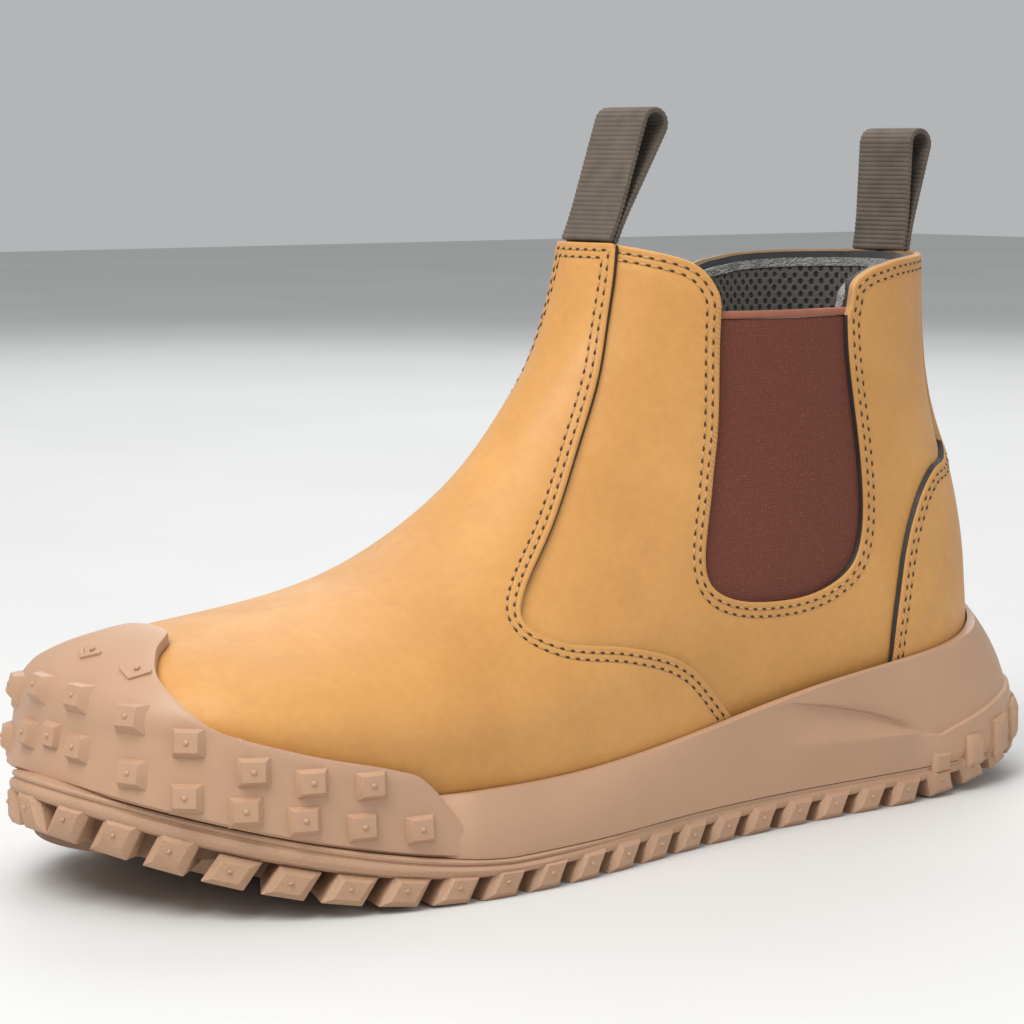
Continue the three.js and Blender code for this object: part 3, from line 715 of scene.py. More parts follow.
    def foot(self, u: Array, depth: float) -> Array:
        """The v at which a place along the boot meets the floor inside the sole."""
        u = np.atleast_1d(np.asarray(u, float))

        def under(v: Array) -> Array:
            """Whether the place at v is under the floor."""
            p = self.point(u, v, depth)
            return p[:, 2] < self.ground.height(p[:, 0]) + self.floor

        return turning_point(np.full(u.shape, 0.35), np.full(u.shape, 0.97), under)


LAST = Last()


# ---- Panels cut to a pattern and wrapped on a surface ----


@dataclass
class Edge:
    """One side of a pattern, as a line in (u, v)."""

    line: Array
    stitched: bool = False
    dark: bool = False

    def mirrored(self, axis: float = 0.0) -> "Edge":
        """The same side of the mirrored pattern, run the other way."""
        line = np.column_stack([self.line[:, 0], 2 * axis - self.line[:, 1]])[::-1]
        return Edge(line, self.stitched, self.dark)


def inside(points: Array, loop: Array) -> Array:
    """Which points lie inside a closed loop of the plane."""
    x, y = points[:, 0][:, None], points[:, 1][:, None]
    a, b = loop, np.roll(loop, -1, axis=0)
    crosses = (a[:, 1] > y) != (b[:, 1] > y)
    rise = np.where(b[:, 1] == a[:, 1], 1e-12, b[:, 1] - a[:, 1])
    left = x < (b[:, 0] - a[:, 0]) * (y - a[:, 1]) / rise + a[:, 0]
    return (np.sum(crosses & left, axis=1) % 2) == 1


def tree_of(points: Array) -> KDTree:
    """A search tree of points."""
    tree = KDTree(len(points))
    for i, p in enumerate(points):
        tree.insert(p, i)
    tree.balance()
    return tree


def distances(points: Array, tree: KDTree | None) -> Array:
    """Distance of each point to the nearest in a tree, or a large one with no tree."""
    if tree is None:
        return np.full(len(points), 1e3)
    return np.array([tree.find(p)[2] for p in points])


@dataclass
class Panel:
    """A piece of leather or cloth, cut to a pattern and wrapped on a surface."""

    name: str
    edges: list[Edge]
    outer: float
    inner: float
    wrap: Wrap = LAST.point
    roll: float = 0.45  # radius of its rounded edge
    step: float = 1.3
    cell: float = 2.4
    rows: tuple[float, ...] = (1.9, 3.9)  # stitch rows, from the edge
    pitch: float = 3.2
    sink: float = 0.22
    scale: tuple[float, float] = (330.0, 120.0)  # millimetres to a unit of u and of v
    uv: Callable[[Array], Array] | None = None  # from places in millimetres; by default the pattern's own
    seams: list[Array] = field(default_factory=list)

    def build(self) -> Piece:
        """Builds the closed panel, whose faces are finished 0 outside, 1 at dark edges, 2 inside."""
        loop, stitched, dark = self.outline()
        step_in = self.inward(loop)
        fine = np.vstack([loop + (np.roll(loop, -1, axis=0) - loop) * f for f in (0, 0.34, 0.67)])
        rim = tree_of(self.wrap(fine[:, 0], fine[:, 1], self.outer))
        sewn = np.vstack([loop[stitched], (loop + np.roll(loop, -1, axis=0))[stitched] / 2])
        sewn_tree = tree_of(self.wrap(sewn[:, 0], sewn[:, 1], self.outer)) if len(sewn) else None
        self.sew(loop, stitched, step_in, rim)
        flat, triangles = self.triangulate(loop, step_in, rim)
        solid = self.wrap(flat[:, 0], flat[:, 1], self.outer)
        away = distances(solid, rim)
        away[: len(loop)] = 0
        near = np.clip(away / self.roll, 0, 1)
        drop = self.roll * (1 - np.sqrt(1 - (1 - near) ** 2))
        to_seam = distances(solid, sewn_tree)
        for row in self.rows:
            drop += self.sink * np.exp(-(((to_seam - row) / 0.6) ** 2))
        outside = self.wrap(flat[:, 0], flat[:, 1], self.outer + drop)
        lining = self.wrap(flat[:, 0], flat[:, 1], self.inner)
        return self.shell(flat, outside, lining, triangles, len(loop), dark, away)

    def outline(self) -> tuple[Array, Array, Array]:
        """The pattern's loop in (u, v), and which of its points are stitched and which dark."""
        parts, stitched, dark = [], [], []
        for edge in self.edges:
            solid = self.wrap(edge.line[:, 0], edge.line[:, 1], self.outer)
            line = respaced(edge.line, solid, self.step)[:-1]
            parts.append(line)
            stitched += [edge.stitched] * len(line)
            dark += [edge.dark] * len(line)
        return np.vstack(parts), np.array(stitched), np.array(dark)

    def inward(self, loop: Array) -> Array:
        """The step in (u, v) that moves each point of the loop one millimetre into the panel."""
        u, v = loop.T
        reach = 1e-4
        along = (self.wrap(u + reach, v, self.outer) - self.wrap(u - reach, v, self.outer)) / (2 * reach)
        round_ = (self.wrap(u, v + reach, self.outer) - self.wrap(u, v - reach, self.outer)) / (2 * reach)
        solid = self.wrap(u, v, self.outer)
        tangent = np.roll(solid, -1, axis=0) - np.roll(solid, 1, axis=0)
        turn = np.sum(u * np.roll(v, -1) - np.roll(u, -1) * v)
        inner = np.cross(np.cross(along, round_), tangent) * np.sign(turn)
        inner /= np.linalg.norm(inner, axis=1)[:, None] + 1e-12
        uu, vv, uv = (np.sum(a * b, axis=1) for a, b in ((along, along), (round_, round_), (along, round_)))
        ru, rv = np.sum(along * inner, axis=1), np.sum(round_ * inner, axis=1)
        scale = uu * vv - uv**2 + 1e-9
        return np.column_stack([(ru * vv - rv * uv) / scale, (rv * uu - ru * uv) / scale])

    def sew(self, loop: Array, stitched: Array, step_in: Array, rim: KDTree) -> None:
        """Keeps the lines of the stitch rows, as points with their outward normals."""
        starts = [i for i in range(len(loop)) if stitched[i] and not stitched[i - 1]]
        for start in starts:
            count = 0
            while count < len(loop) and stitched[(start + count) % len(loop)]:
                count += 1
            run = [(start + k) % len(loop) for k in range(count + 1)]
            for row in self.rows:
                line = loop[run] + step_in[run] * row
                solid = self.wrap(line[:, 0], line[:, 1], self.outer)
                line, solid = (a[distances(solid, rim) > 0.93 * row] for a in (line, solid))
                if len(line) > 3:
                    self.seams.append(respaced(line, solid, self.pitch / 2))

    def triangulate(self, loop: Array, step_in: Array, rim: KDTree) -> tuple[Array, list[list[int]]]:
        """Fills the loop with rings along its edge and a grid inside, and joins them by triangles."""
        offsets = [self.roll * 0.3, self.roll * 1.05]
        offsets += [o for row in self.rows for o in (row - 0.8, row, row + 0.8)]
        offsets = [o for i, o in enumerate(offsets) if all(abs(o - p) > 0.25 for p in offsets[:i])]
        parts = []
        for offset in offsets:
            ring = loop + step_in * offset
            parts.append(ring[distances(self.wrap(ring[:, 0], ring[:, 1], self.outer), rim) > 0.9 * offset])
        low, high = loop.min(0), loop.max(0)
        counts = np.ceil((high - low) * self.scale / self.cell).astype(int) + 1
        us, vs = (np.linspace(a, b, n) for a, b, n in zip(low, high, counts))
        grid = np.array([(u, v + (k % 2) * (vs[1] - vs[0]) / 2) for k, u in enumerate(us) for v in vs])
        solid = self.wrap(grid[:, 0], grid[:, 1], self.outer)
        parts.append(grid[distances(solid, rim) > max(offsets) + self.cell / 2])
        extra = np.vstack(parts)
        extra = extra[inside(extra, loop)]
        flat = np.vstack([loop, extra]) * self.scale
        n = len(loop)
        sides = [(i, (i + 1) % n) for i in range(n)]
        points, _, faces, *_ = delaunay_2d_cdt([Vector(p) for p in flat], sides, [list(range(n))], 1, 1e-4)
        return np.array(points) / self.scale, [list(f) for f in faces]

    def shell(self, flat: Array, outside: Array, lining: Array, triangles: list, rim_count: int,
              dark: Array, away: Array) -> Piece:
        """Closes the outer and the inner face into one mesh, with its UV map and rim attribute."""
        n = len(flat)
        ways = {(f[i], f[(i + 1) % 3]) for f in triangles for i in range(3)}
        border = [(a, b) for a, b in ways if (b, a) not in ways]
        faces = [*triangles, *([n + i for i in reversed(f)] for f in triangles)]
        faces += [[b, a, n + a, n + b] for a, b in sorted(border)]
        piece = mesh_piece(self.name, np.vstack([outside, lining]), faces)
        numbers = [0] * len(triangles) + [2] * len(triangles)
        numbers += [1 if min(a, b) < rim_count and dark[min(a, b)] else 3 for a, b in sorted(border)]
        piece.data.polygons.foreach_set("material_index", numbers)
        layer = piece.data.uv_layers.new(name="UVMap")
        place = np.vstack([flat, flat])[:, ::-1] * np.array(self.scale[::-1]) * MM
        if self.uv:
            place = np.vstack([self.uv(outside), self.uv(outside)]) * MM
        corner = np.zeros(len(piece.data.loops), int)
        piece.data.loops.foreach_get("vertex_index", corner)
        layer.data.foreach_set("uv", place[corner].astype(np.float32).ravel())
        rim = piece.data.attributes.new("rim", "FLOAT", "POINT")
        rim.data.foreach_set("value", np.tile(np.exp(-away / 1.6), 2).astype(np.float32))
        if volume(piece) < 0:
            piece.data.flip_normals()
        return shaded(piece, 50)


def volume(piece: Piece) -> float:
    """The signed volume of a closed mesh."""
    shell = bmesh.new()
    shell.from_mesh(piece.data)
    signed = shell.calc_volume(signed=True)
    shell.free()
    return signed


# ---- The upper ----


def band(u: Callable[[Array], Array], v0: float, v1: float, count: int = 60) -> Array:
    """A line round the boot from v0 to v1, at the u that a function gives."""
    v = np.linspace(v0, v1, count)
    return np.column_stack([u(v), v])


def strip_edges(upper: Array, lower: Array) -> list[Edge]:
    """The four edges of a strip between two lines that run opposite ways."""
    ends = [np.array([a[-1], b[0]]) for a, b in ((upper, lower), (lower, upper))]
    return [Edge(upper), Edge(ends[0]), Edge(lower), Edge(ends[1])]


@dataclass
class Upper:
    """Leather, elastic, lining and stitching of the upper."""

    leather: float = 1.8
    gap: float = 0.3
    elastic: float = 1.5
    vamp_seam: tuple[tuple[float, float], ...] = (
        (1.03, 0.094), (0.93, 0.104), (0.79, 0.122), (0.65, 0.158), (0.56, 0.205), (0.51, 0.243),
        (0.49, 0.285), (0.506, 0.346), (0.545, 0.41), (0.57, 0.48), (0.576, 0.58), (0.577, 0.86),
    )
    gore_opening: tuple[tuple[float, float], ...] = (
        (1.08, 0.297), (0.85, 0.3), (0.75, 0.308), (0.69, 0.333), (0.645, 0.37), (0.627, 0.41),
        (0.638, 0.457), (0.672, 0.497), (0.72, 0.517), (0.77, 0.527), (0.87, 0.526), (1.08, 0.53),
    )
    backstay_edge: tuple[tuple[float, float], ...] = (
        (1.03, 0.87), (0.94, 0.865), (0.895, 0.835), (0.87, 0.76), (0.85, 0.685), (0.815, 0.625),
        (0.77, 0.594), (0.72, 0.615), (0.66, 0.7),
    )
    black_below: float = 0.885  # the backstay's cut edge is black under this u
    seam_overlap: tuple[float, float] = (0.035, 0.045)
    overlap_turn: tuple[float, float] = (0.28, 0.36)  # the overlap across fades out between these v
    gore_centre: tuple[float, float] = (0.8, 0.415)
    gore_margin: float = 1.2
    gore_top: float = 136.6
    back_seam: float = 0.985
    shaft_x: float = -64.0
    shaft_radius: float = 47.0
    seat: float = 0.735
    seat_turn: tuple[float, float] = (0.69, 0.86)
    seat_side: float = 0.97
    hem_height: float = 2.2
    hem_raised: float = 0.35
    fray: float = 4.2  # the lining ends this far under the collar
    seams: list[tuple[Panel, Array]] = field(default_factory=list)

    def cut(self, line: Array, depth: float, most: float = 999.0) -> Array:
        """Cuts the ends of a line off at the collar and at the floor of the upper."""
        share, own = np.linspace(0, 1, 400), np.linspace(0, 1, len(line))
        fine = np.column_stack([np.interp(share, own, column) for column in line.T])
        side = np.abs(fine[:, 1])
        under = fine[:, 0] < LAST.top(side, depth, most=most)
        over = side < LAST.foot(np.minimum(fine[:, 0], 0.75), depth)
        return fine[under & (over | (fine[:, 0] > 0.75))]

    def keep(self, panel: Panel, node: str, slot: str, *looks: Look) -> Piece:
        """Builds a panel, dresses it and puts it in the place of its CAD node."""
        piece = dress(panel.build(), slot, *looks)
        self.seams += [(panel, line) for line in panel.seams]
        return settled(piece, node)

    def leather_looks(self) -> tuple[Look, Look, Look, Look]:
        """Finishes of a leather panel: grain side, dark edge, flesh side, plain edge."""
        return Look.LEATHER, Look.CUT_EDGE, Look.RAW_EDGE, Look.RAW_EDGE

    def vamp(self) -> None:
        """The vamp, from the toe to the front of the collar."""
        seam = self.cut(smooth_curve(self.vamp_seam), 0)
        u = np.linspace(seam[-1, 0], 0.02, 60)
        foot = np.column_stack([u, LAST.foot(u, 0)])
        foot[0] = seam[-1]
        down, along = Edge(seam, stitched=True, dark=True), Edge(foot)
        tip = Edge(np.array([foot[-1], foot[-1] * [1, -1]]))
        collar = band(lambda v: LAST.top(v, 0), -seam[0, 1], seam[0, 1])
        collar[0], collar[-1] = [seam[0, 0], -seam[0, 1]], seam[0]
        edges = [down, along, tip, along.mirrored(), down.mirrored(), Edge(collar, stitched=True)]
        self.keep(Panel("vamp_leather", edges, 0, self.leather), "vamp", "leather", *self.leather_looks())

    def quarter(self, side: str, mirror: bool) -> None:
        """One quarter, with its opening for the elastic."""
        depth = self.leather + self.gap
        seam = smooth_curve(self.vamp_seam)
        turn = smoothstep((seam[:, 1] - self.overlap_turn[0]) / (self.overlap_turn[1] - self.overlap_turn[0]))
        across = self.seam_overlap[1] * (1 - turn)
        hidden = self.cut(seam - np.column_stack([np.full(len(seam), self.seam_overlap[0]), across]), depth)
        u = np.linspace(hidden[-1, 0], self.seat, 50)
        foot = np.column_stack([u, np.minimum(LAST.foot(u, depth), self.back_seam)])
        foot[0] = hidden[-1]
        top = LAST.top(self.back_seam, depth)[0]
        back = np.array([foot[-1], [top, self.back_seam]])
        notch = self.cut(smooth_curve(self.gore_opening), depth)[::-1]
        rear = band(lambda v: LAST.top(v, depth), self.back_seam, notch[0, 1], 80)
        front = band(lambda v: LAST.top(v, depth), notch[-1, 1], hidden[0, 1], 80)
        rear[-1], front[0], front[-1] = notch[0], notch[-1], hidden[0]
        rear[0] = back[-1]
        edges = [Edge(hidden), Edge(foot), Edge(back), Edge(rear, stitched=True)]
        edges += [Edge(notch, stitched=True, dark=True), Edge(front, stitched=True)]
        if mirror:
            edges = [e.mirrored() for e in reversed(edges)]
        panel = Panel(f"quarter_{side}_leather", edges, depth, depth + self.leather)
        self.keep(panel, f"quarter_{side}", "leather", *self.leather_looks())

    def seat_line(self, end: Array) -> Array:
        """The line under the heel, from one end of a rear piece to its mirrored end."""
        half = np.array([end, self.seat_turn, (self.seat, self.seat_side)])
        return np.vstack([half, np.column_stack([half[:, 0], 2 - half[:, 1]])[::-1]])

    def backstay(self) -> None:
        """The heel piece, round the back."""
        edge = self.cut(smooth_curve(self.backstay_edge), 0)
        seat = self.seat_line(edge[-1])
        high = edge[:, 0] > self.black_below
        turn = edge[high][-1:]
        plain = Edge(edge[high], stitched=True)
        down = Edge(np.vstack([turn, edge[~high]]), stitched=True, dark=True)
        collar = band(lambda v: LAST.top(v, 0), 2 - edge[0, 1], edge[0, 1], 80)
        collar[0], collar[-1] = [edge[0, 0], 2 - edge[0, 1]], edge[0]
        edges = [plain, down, Edge(seat), down.mirrored(1.0), plain.mirrored(1.0)]
        panel = Panel("backstay_leather", [*edges, Edge(collar, stitched=True)], 0, self.leather)
        self.keep(panel, "backstay", "leather", *self.leather_looks())

    def gore(self, side: str, mirror: bool) -> None:
        """One elastic gore and the folded hem along its top."""
        depth = 2 * (self.leather + self.gap)
        centre = np.array(self.gore_centre)
        line = centre + (smooth_curve(self.gore_opening) - centre) * self.gore_margin
        line = self.cut(line, depth, self.gore_top)
        for kind, low, high, raised, look in (
            ("elastic", None, self.hem_height, 0.0, Look.ELASTIC),
            ("hem", self.hem_height, 0.0, self.hem_raised, Look.HEM),
        ):
            upper = band(lambda v: LAST.top(v, depth, high, self.gore_top), line[-1, 1], line[0, 1], 40)
            if low is None:
                kept = line[line[:, 0] < LAST.top(line[:, 1], depth, high, self.gore_top)]
                upper[0], upper[-1] = kept[-1], kept[0]
                edges = [Edge(kept), Edge(upper)]
            else:
                under = low - 0.15
                lower = band(lambda v: LAST.top(v, depth, under, self.gore_top), line[0, 1], line[-1, 1], 40)
                edges = strip_edges(upper, lower)
            if mirror:
                edges = [e.mirrored() for e in reversed(edges)]
            panel = Panel(f"gore_{side}_{kind}", edges, depth - raised, depth + self.elastic,
                          rows=(), cell=2.0, uv=lambda p: p[:, [0, 2]])
            self.keep(panel, f"gore_{side}", "elastic", *(look,) * 4)

    def lining(self) -> None:
        """Front and rear lining, with the frayed edge that shows at the collar."""
        depth = 2 * (self.leather + self.gap) + self.elastic + 2 * self.gap
        split = [(1.03, 0.262), (0.6, 0.262), (0.55, 0.31), (0.535, 0.42), (0.535, 0.9)]
        fray = self.fray
        for name, node, shift, centre in (
            ("front", "vamp_lining", 0.0, 0.0),
            ("rear", "quarter_lining", 0.01, 1.0),
        ):
            fine = [np.linspace(a, b, 12, endpoint=False) for a, b in zip(split[:-1], split[1:])]
            line = self.cut(np.vstack([*fine, split[-1:]]) + shift, depth)
            start = LAST.top(line[0, 1], depth, fray)[0]
            line = np.vstack([[start, line[0, 1]], line[line[:, 0] < start]])
            down = Edge(line)
            v0, v1 = (-line[0, 1], line[0, 1]) if centre == 0 else (2 - line[0, 1], line[0, 1])
            collar = band(lambda v: LAST.top(v, depth, fray), v0, v1, 140)
            collar[0], collar[-1] = [start, v0], [start, v1]
            if centre == 0:
                u = np.linspace(line[-1, 0], 0.04, 50)
                foot = np.column_stack([u, LAST.foot(u, depth)])
                foot[0] = line[-1]
                tip = Edge(np.array([foot[-1], foot[-1] * [1, -1]]))
                edges = [down, Edge(foot), tip, Edge(foot).mirrored(), down.mirrored(), Edge(collar)]
            else:
                seat = self.seat_line(line[-1])
                edges = [down, Edge(seat), down.mirrored(1.0), Edge(collar)]
            sign = -1 if centre else 1
            panel = Panel(f"{name}_lining_mesh", edges, depth, depth + self.leather,
                          rows=(), cell=3.0, step=2.0, uv=lambda p: self.round_shaft(p, sign))
            self.keep(panel, node, "lining", *(Look.MESH,) * 4)
            heights = (fray - 2.0, fray + 0.5)
            self.collar_strip(f"{name}_lining_edge", depth - 0.1, depth + 2.1, heights, (v0, v1),
                              Look.FRAYED, node)

    def round_shaft(self, p: Array, sign: int) -> Array:
        """Millimetres round the shaft and up it; the join is behind for sign 1, in front for -1."""
        angle = np.arctan2(sign * (p[:, 1] - SHIFT[1]), sign * (p[:, 0] - self.shaft_x))
        return np.column_stack([angle * self.shaft_radius, p[:, 2]])

    def collar_strip(self, name: str, outer: float, inner: float, heights: tuple[float, float],
                     span: tuple[float, float], look: Look, node: str) -> None:
        """A strip that follows the collar edge, between two heights under it."""
        upper = band(lambda v: LAST.top(v, outer, heights[0]), span[0], span[1], 140)
        lower = band(lambda v: LAST.top(v, outer, heights[1]), span[1], span[0], 140)
        edges = strip_edges(upper, lower)
        slot = "lining" if "lining" in name else "webbing"
        self.keep(Panel(name, edges, outer, inner, rows=(), cell=2.0), node, slot, *(look,) * 4)

    def tapes(self) -> None:
        """Black tapes between the leather and the lining at the collar."""
        outer = 2 * (self.leather + self.gap) - 0.2
        for name, span in (("front", (-0.285, 0.285)), ("rear", (0.545, 1.455))):
            node = f"collar_tape_{name}"
            self.collar_strip(f"{node}_band", outer, outer + 2.2, (0.5, 9.0), span, Look.TAPE, node)

    def stitching(self) -> None:
        """Threads along every stitch row, with dark ellipsoids between them that paint the shade inside the
        needle holes.
        """
        sizes = {"thread": (1.0, 0.34, 0.27), "needle_holes": (0.74, 0.34, 0.31)}
        for kind, look in (("thread", Look.THREAD), ("needle_holes", Look.NEEDLE)):
            bpy.ops.mesh.primitive_uv_sphere_add(segments=8, ring_count=6, radius=1)
            unit = bpy.context.object
            unit.scale = sizes[kind]
            vertices, faces = unit_mesh(unit)
            # the dark ellipsoids take every other point, between the threads, as painted shade in the needle
            # holes
            first = 0 if kind == "thread" else 1
            parts = []
            for panel, line in self.seams:
                u, v = line[first::2].T
                solid = panel.wrap(u, v, panel.outer + panel.sink - 0.12)
                outward = panel.wrap(u, v, panel.outer - 1) - panel.wrap(u, v, panel.outer)
                whole = panel.wrap(line[:, 0], line[:, 1], panel.outer)
                ahead = np.gradient(whole, axis=0)[first::2]
                parts += [(placed(vertices, *f), faces) for f in zip(solid, ahead, outward)]
            piece = dress(joined(f"seam_{kind}", parts), "leather", look)
            shaded(piece, 80)
            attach(piece, BODY)
            log.info("%s: %d stitches", piece.name, len(parts))

    def build(self) -> None:
        """Builds every piece of the upper."""
        self.vamp()
        for side, mirror in (("lateral", False), ("medial", True)):
            self.quarter(side, mirror)
            self.gore(side, mirror)
        self.backstay()
        self.lining()
        self.tapes()
        self.stitching()


def placed(vertices: Array, origin: Array, ahead: Array, outward: Array) -> Array:
    """Puts a unit's vertices at a place, its x along ahead and its z along outward."""
    x = ahead / np.linalg.norm(ahead)
    z = outward - x * np.dot(outward, x)
    z /= np.linalg.norm(z)
    return origin + vertices @ np.array([x, np.cross(z, x), z])


def with_nub(lug: Piece, nub: Piece) -> Shell:
    """Takes the meshes of a lug and of the nub on it, and removes both."""
    (vertices, faces), (more, own) = unit_mesh(lug), unit_mesh(nub)
    start = len(vertices)
    return np.vstack([vertices, more]), faces + [tuple(start + i for i in f) for f in own]


# ---- The sole ----


@dataclass
class SoleForm:
    """The outline of the sole and the rim of its cup, as stations round the boot."""

    count: int = 480
    plate_top: float = 9.0
    outer: tuple[tuple[float, float], ...] = (
        (-155, 5), (-149, 20), (-135, 32), (-110, 39), (-60, 41), (0, 47), (38, 55), (70, 57),
        (100, 52.5), (130, 38), (149, 15), (155, -2),
    )
    inner: tuple[tuple[float, float], ...] = (
        (-155, -9), (-149, -22), (-135, -32), (-110, -38), (-60, -37), (-5, -42), (35, -51), (68, -57),
        (98, -56), (128, -47), (148, -31), (155, -14),
    )
    rim_outer: tuple[tuple[float, float, float], ...] = (
        (-138.5, 5, 50), (-135, 15, 48.5), (-128, 26, 45.5), (-112, 34.5, 42), (-62, 40, 37),
        (-2, 44.5, 28.3), (34, 48.5, 25.2), (62, 51.5, 25), (92, 51, 25), (119, 47, 27), (137, 31, 34),
        (146, 2, 38),
    )
    rim_inner: tuple[tuple[float, float, float], ...] = (
        (-138.5, -5, 50), (-135, -14, 48.5), (-128, -24.5, 45.5), (-112, -33, 42), (-62, -37.5, 37),
        (-2, -41.5, 28.3), (34, -45.5, 25.2), (62, -50, 25), (90, -51, 25), (116, -50, 27),
        (134, -39, 34), (145, -18, 38),
    )

    def __post_init__(self) -> None:
        """Works out the stations: edge, outward direction, rim and spine of each."""
        plan = np.array([*self.outer, *self.inner[::-1]], float)
        rim = np.array([*self.rim_outer, *self.rim_inner[::-1]], float)
        steps = np.linalg.norm(np.roll(plan, -1, axis=0) - plan, axis=1)
        knots = np.append(0, np.cumsum(steps[:-1]))
        length = float(np.sum(steps))
        start = -steps[-1] / 2
        fine = start + np.linspace(0, length, 4000)
        gaps = np.linalg.norm(np.diff(closed_spline(plan, knots, length, fine), axis=0), axis=1)
        travelled = np.append(0, np.cumsum(gaps))
        self.length = float(travelled[-1])
        self.travel = np.arange(self.count) * self.length / self.count
        at = np.interp(self.travel, travelled, fine)
        self.edge = closed_spline(plan, knots, length, at)
        self.rim = closed_spline(rim, knots, length, at)
        ahead = np.roll(self.edge, -1, axis=0) - np.roll(self.edge, 1, axis=0)
        self.outward = np.column_stack([-ahead[:, 1], ahead[:, 0]])
        self.outward /= np.linalg.norm(self.outward, axis=1)[:, None]
        mate = (-np.arange(self.count)) % self.count
        self.spine = (self.edge + self.edge[mate]) / 2 * np.array([0.8, 1.0])

    def over(self, x: Array, height: Array | float) -> Array:
        """Heights over the ground line as heights over the floor: low ones drop to the tread's line."""
        low = np.maximum(0, 1 - np.asarray(height) / self.plate_top)
        return LAST.ground.height(x) + height - LAST.ground.drop(x) * low

    def row(self, out: Array | float, height: Array | float) -> Array:
        """A row of the sole, some way out from its edge and over the ground line."""
        plan = self.edge + self.outward * np.broadcast_to(out, self.count)[:, None]
        return np.column_stack([plan, self.over(self.edge[:, 0], height)]) + SHIFT

    def centre(self, height: Array | float) -> Array:
        """The row along the spine, over the ground line."""
        return np.column_stack([self.spine, self.over(self.edge[:, 0], height)]) + SHIFT

    def block(self, name: str, rows: Sequence[Array]) -> Piece:
        """A closed block of rows round the boot, the first and the last on the spine."""
        n = self.count
        faces = []
        for r in range(len(rows) - 1):
            for k in range(n):
                m = (k + 1) % n
                faces.append((r * n + k, r * n + m, (r + 1) * n + m, (r + 1) * n + k))
        return closed_shell(mesh_piece(name, np.vstack(rows), faces), 2e-6)

    def at(self, travelled: float, along: Array, out: Array, height: Array) -> Array:
        """Points beside a place on the edge.

        Args:
            travelled: the place, in millimetres round from the heel's tip to the outer side.
            along: how far on from it.
            out: how far out from the edge.
            height: how far over the ground line.

        Returns:
            One row per point.
        """
        where = (travelled + along) % self.length
        period = {"period": self.length}
        columns = [*self.edge.T, *self.outward.T]
        x, y, nx, ny = (np.interp(where, self.travel, c, **period) for c in columns)
        px, py = x + nx * out, y + ny * out
        return np.column_stack([px, py, self.over(x, height)]) + SHIFT


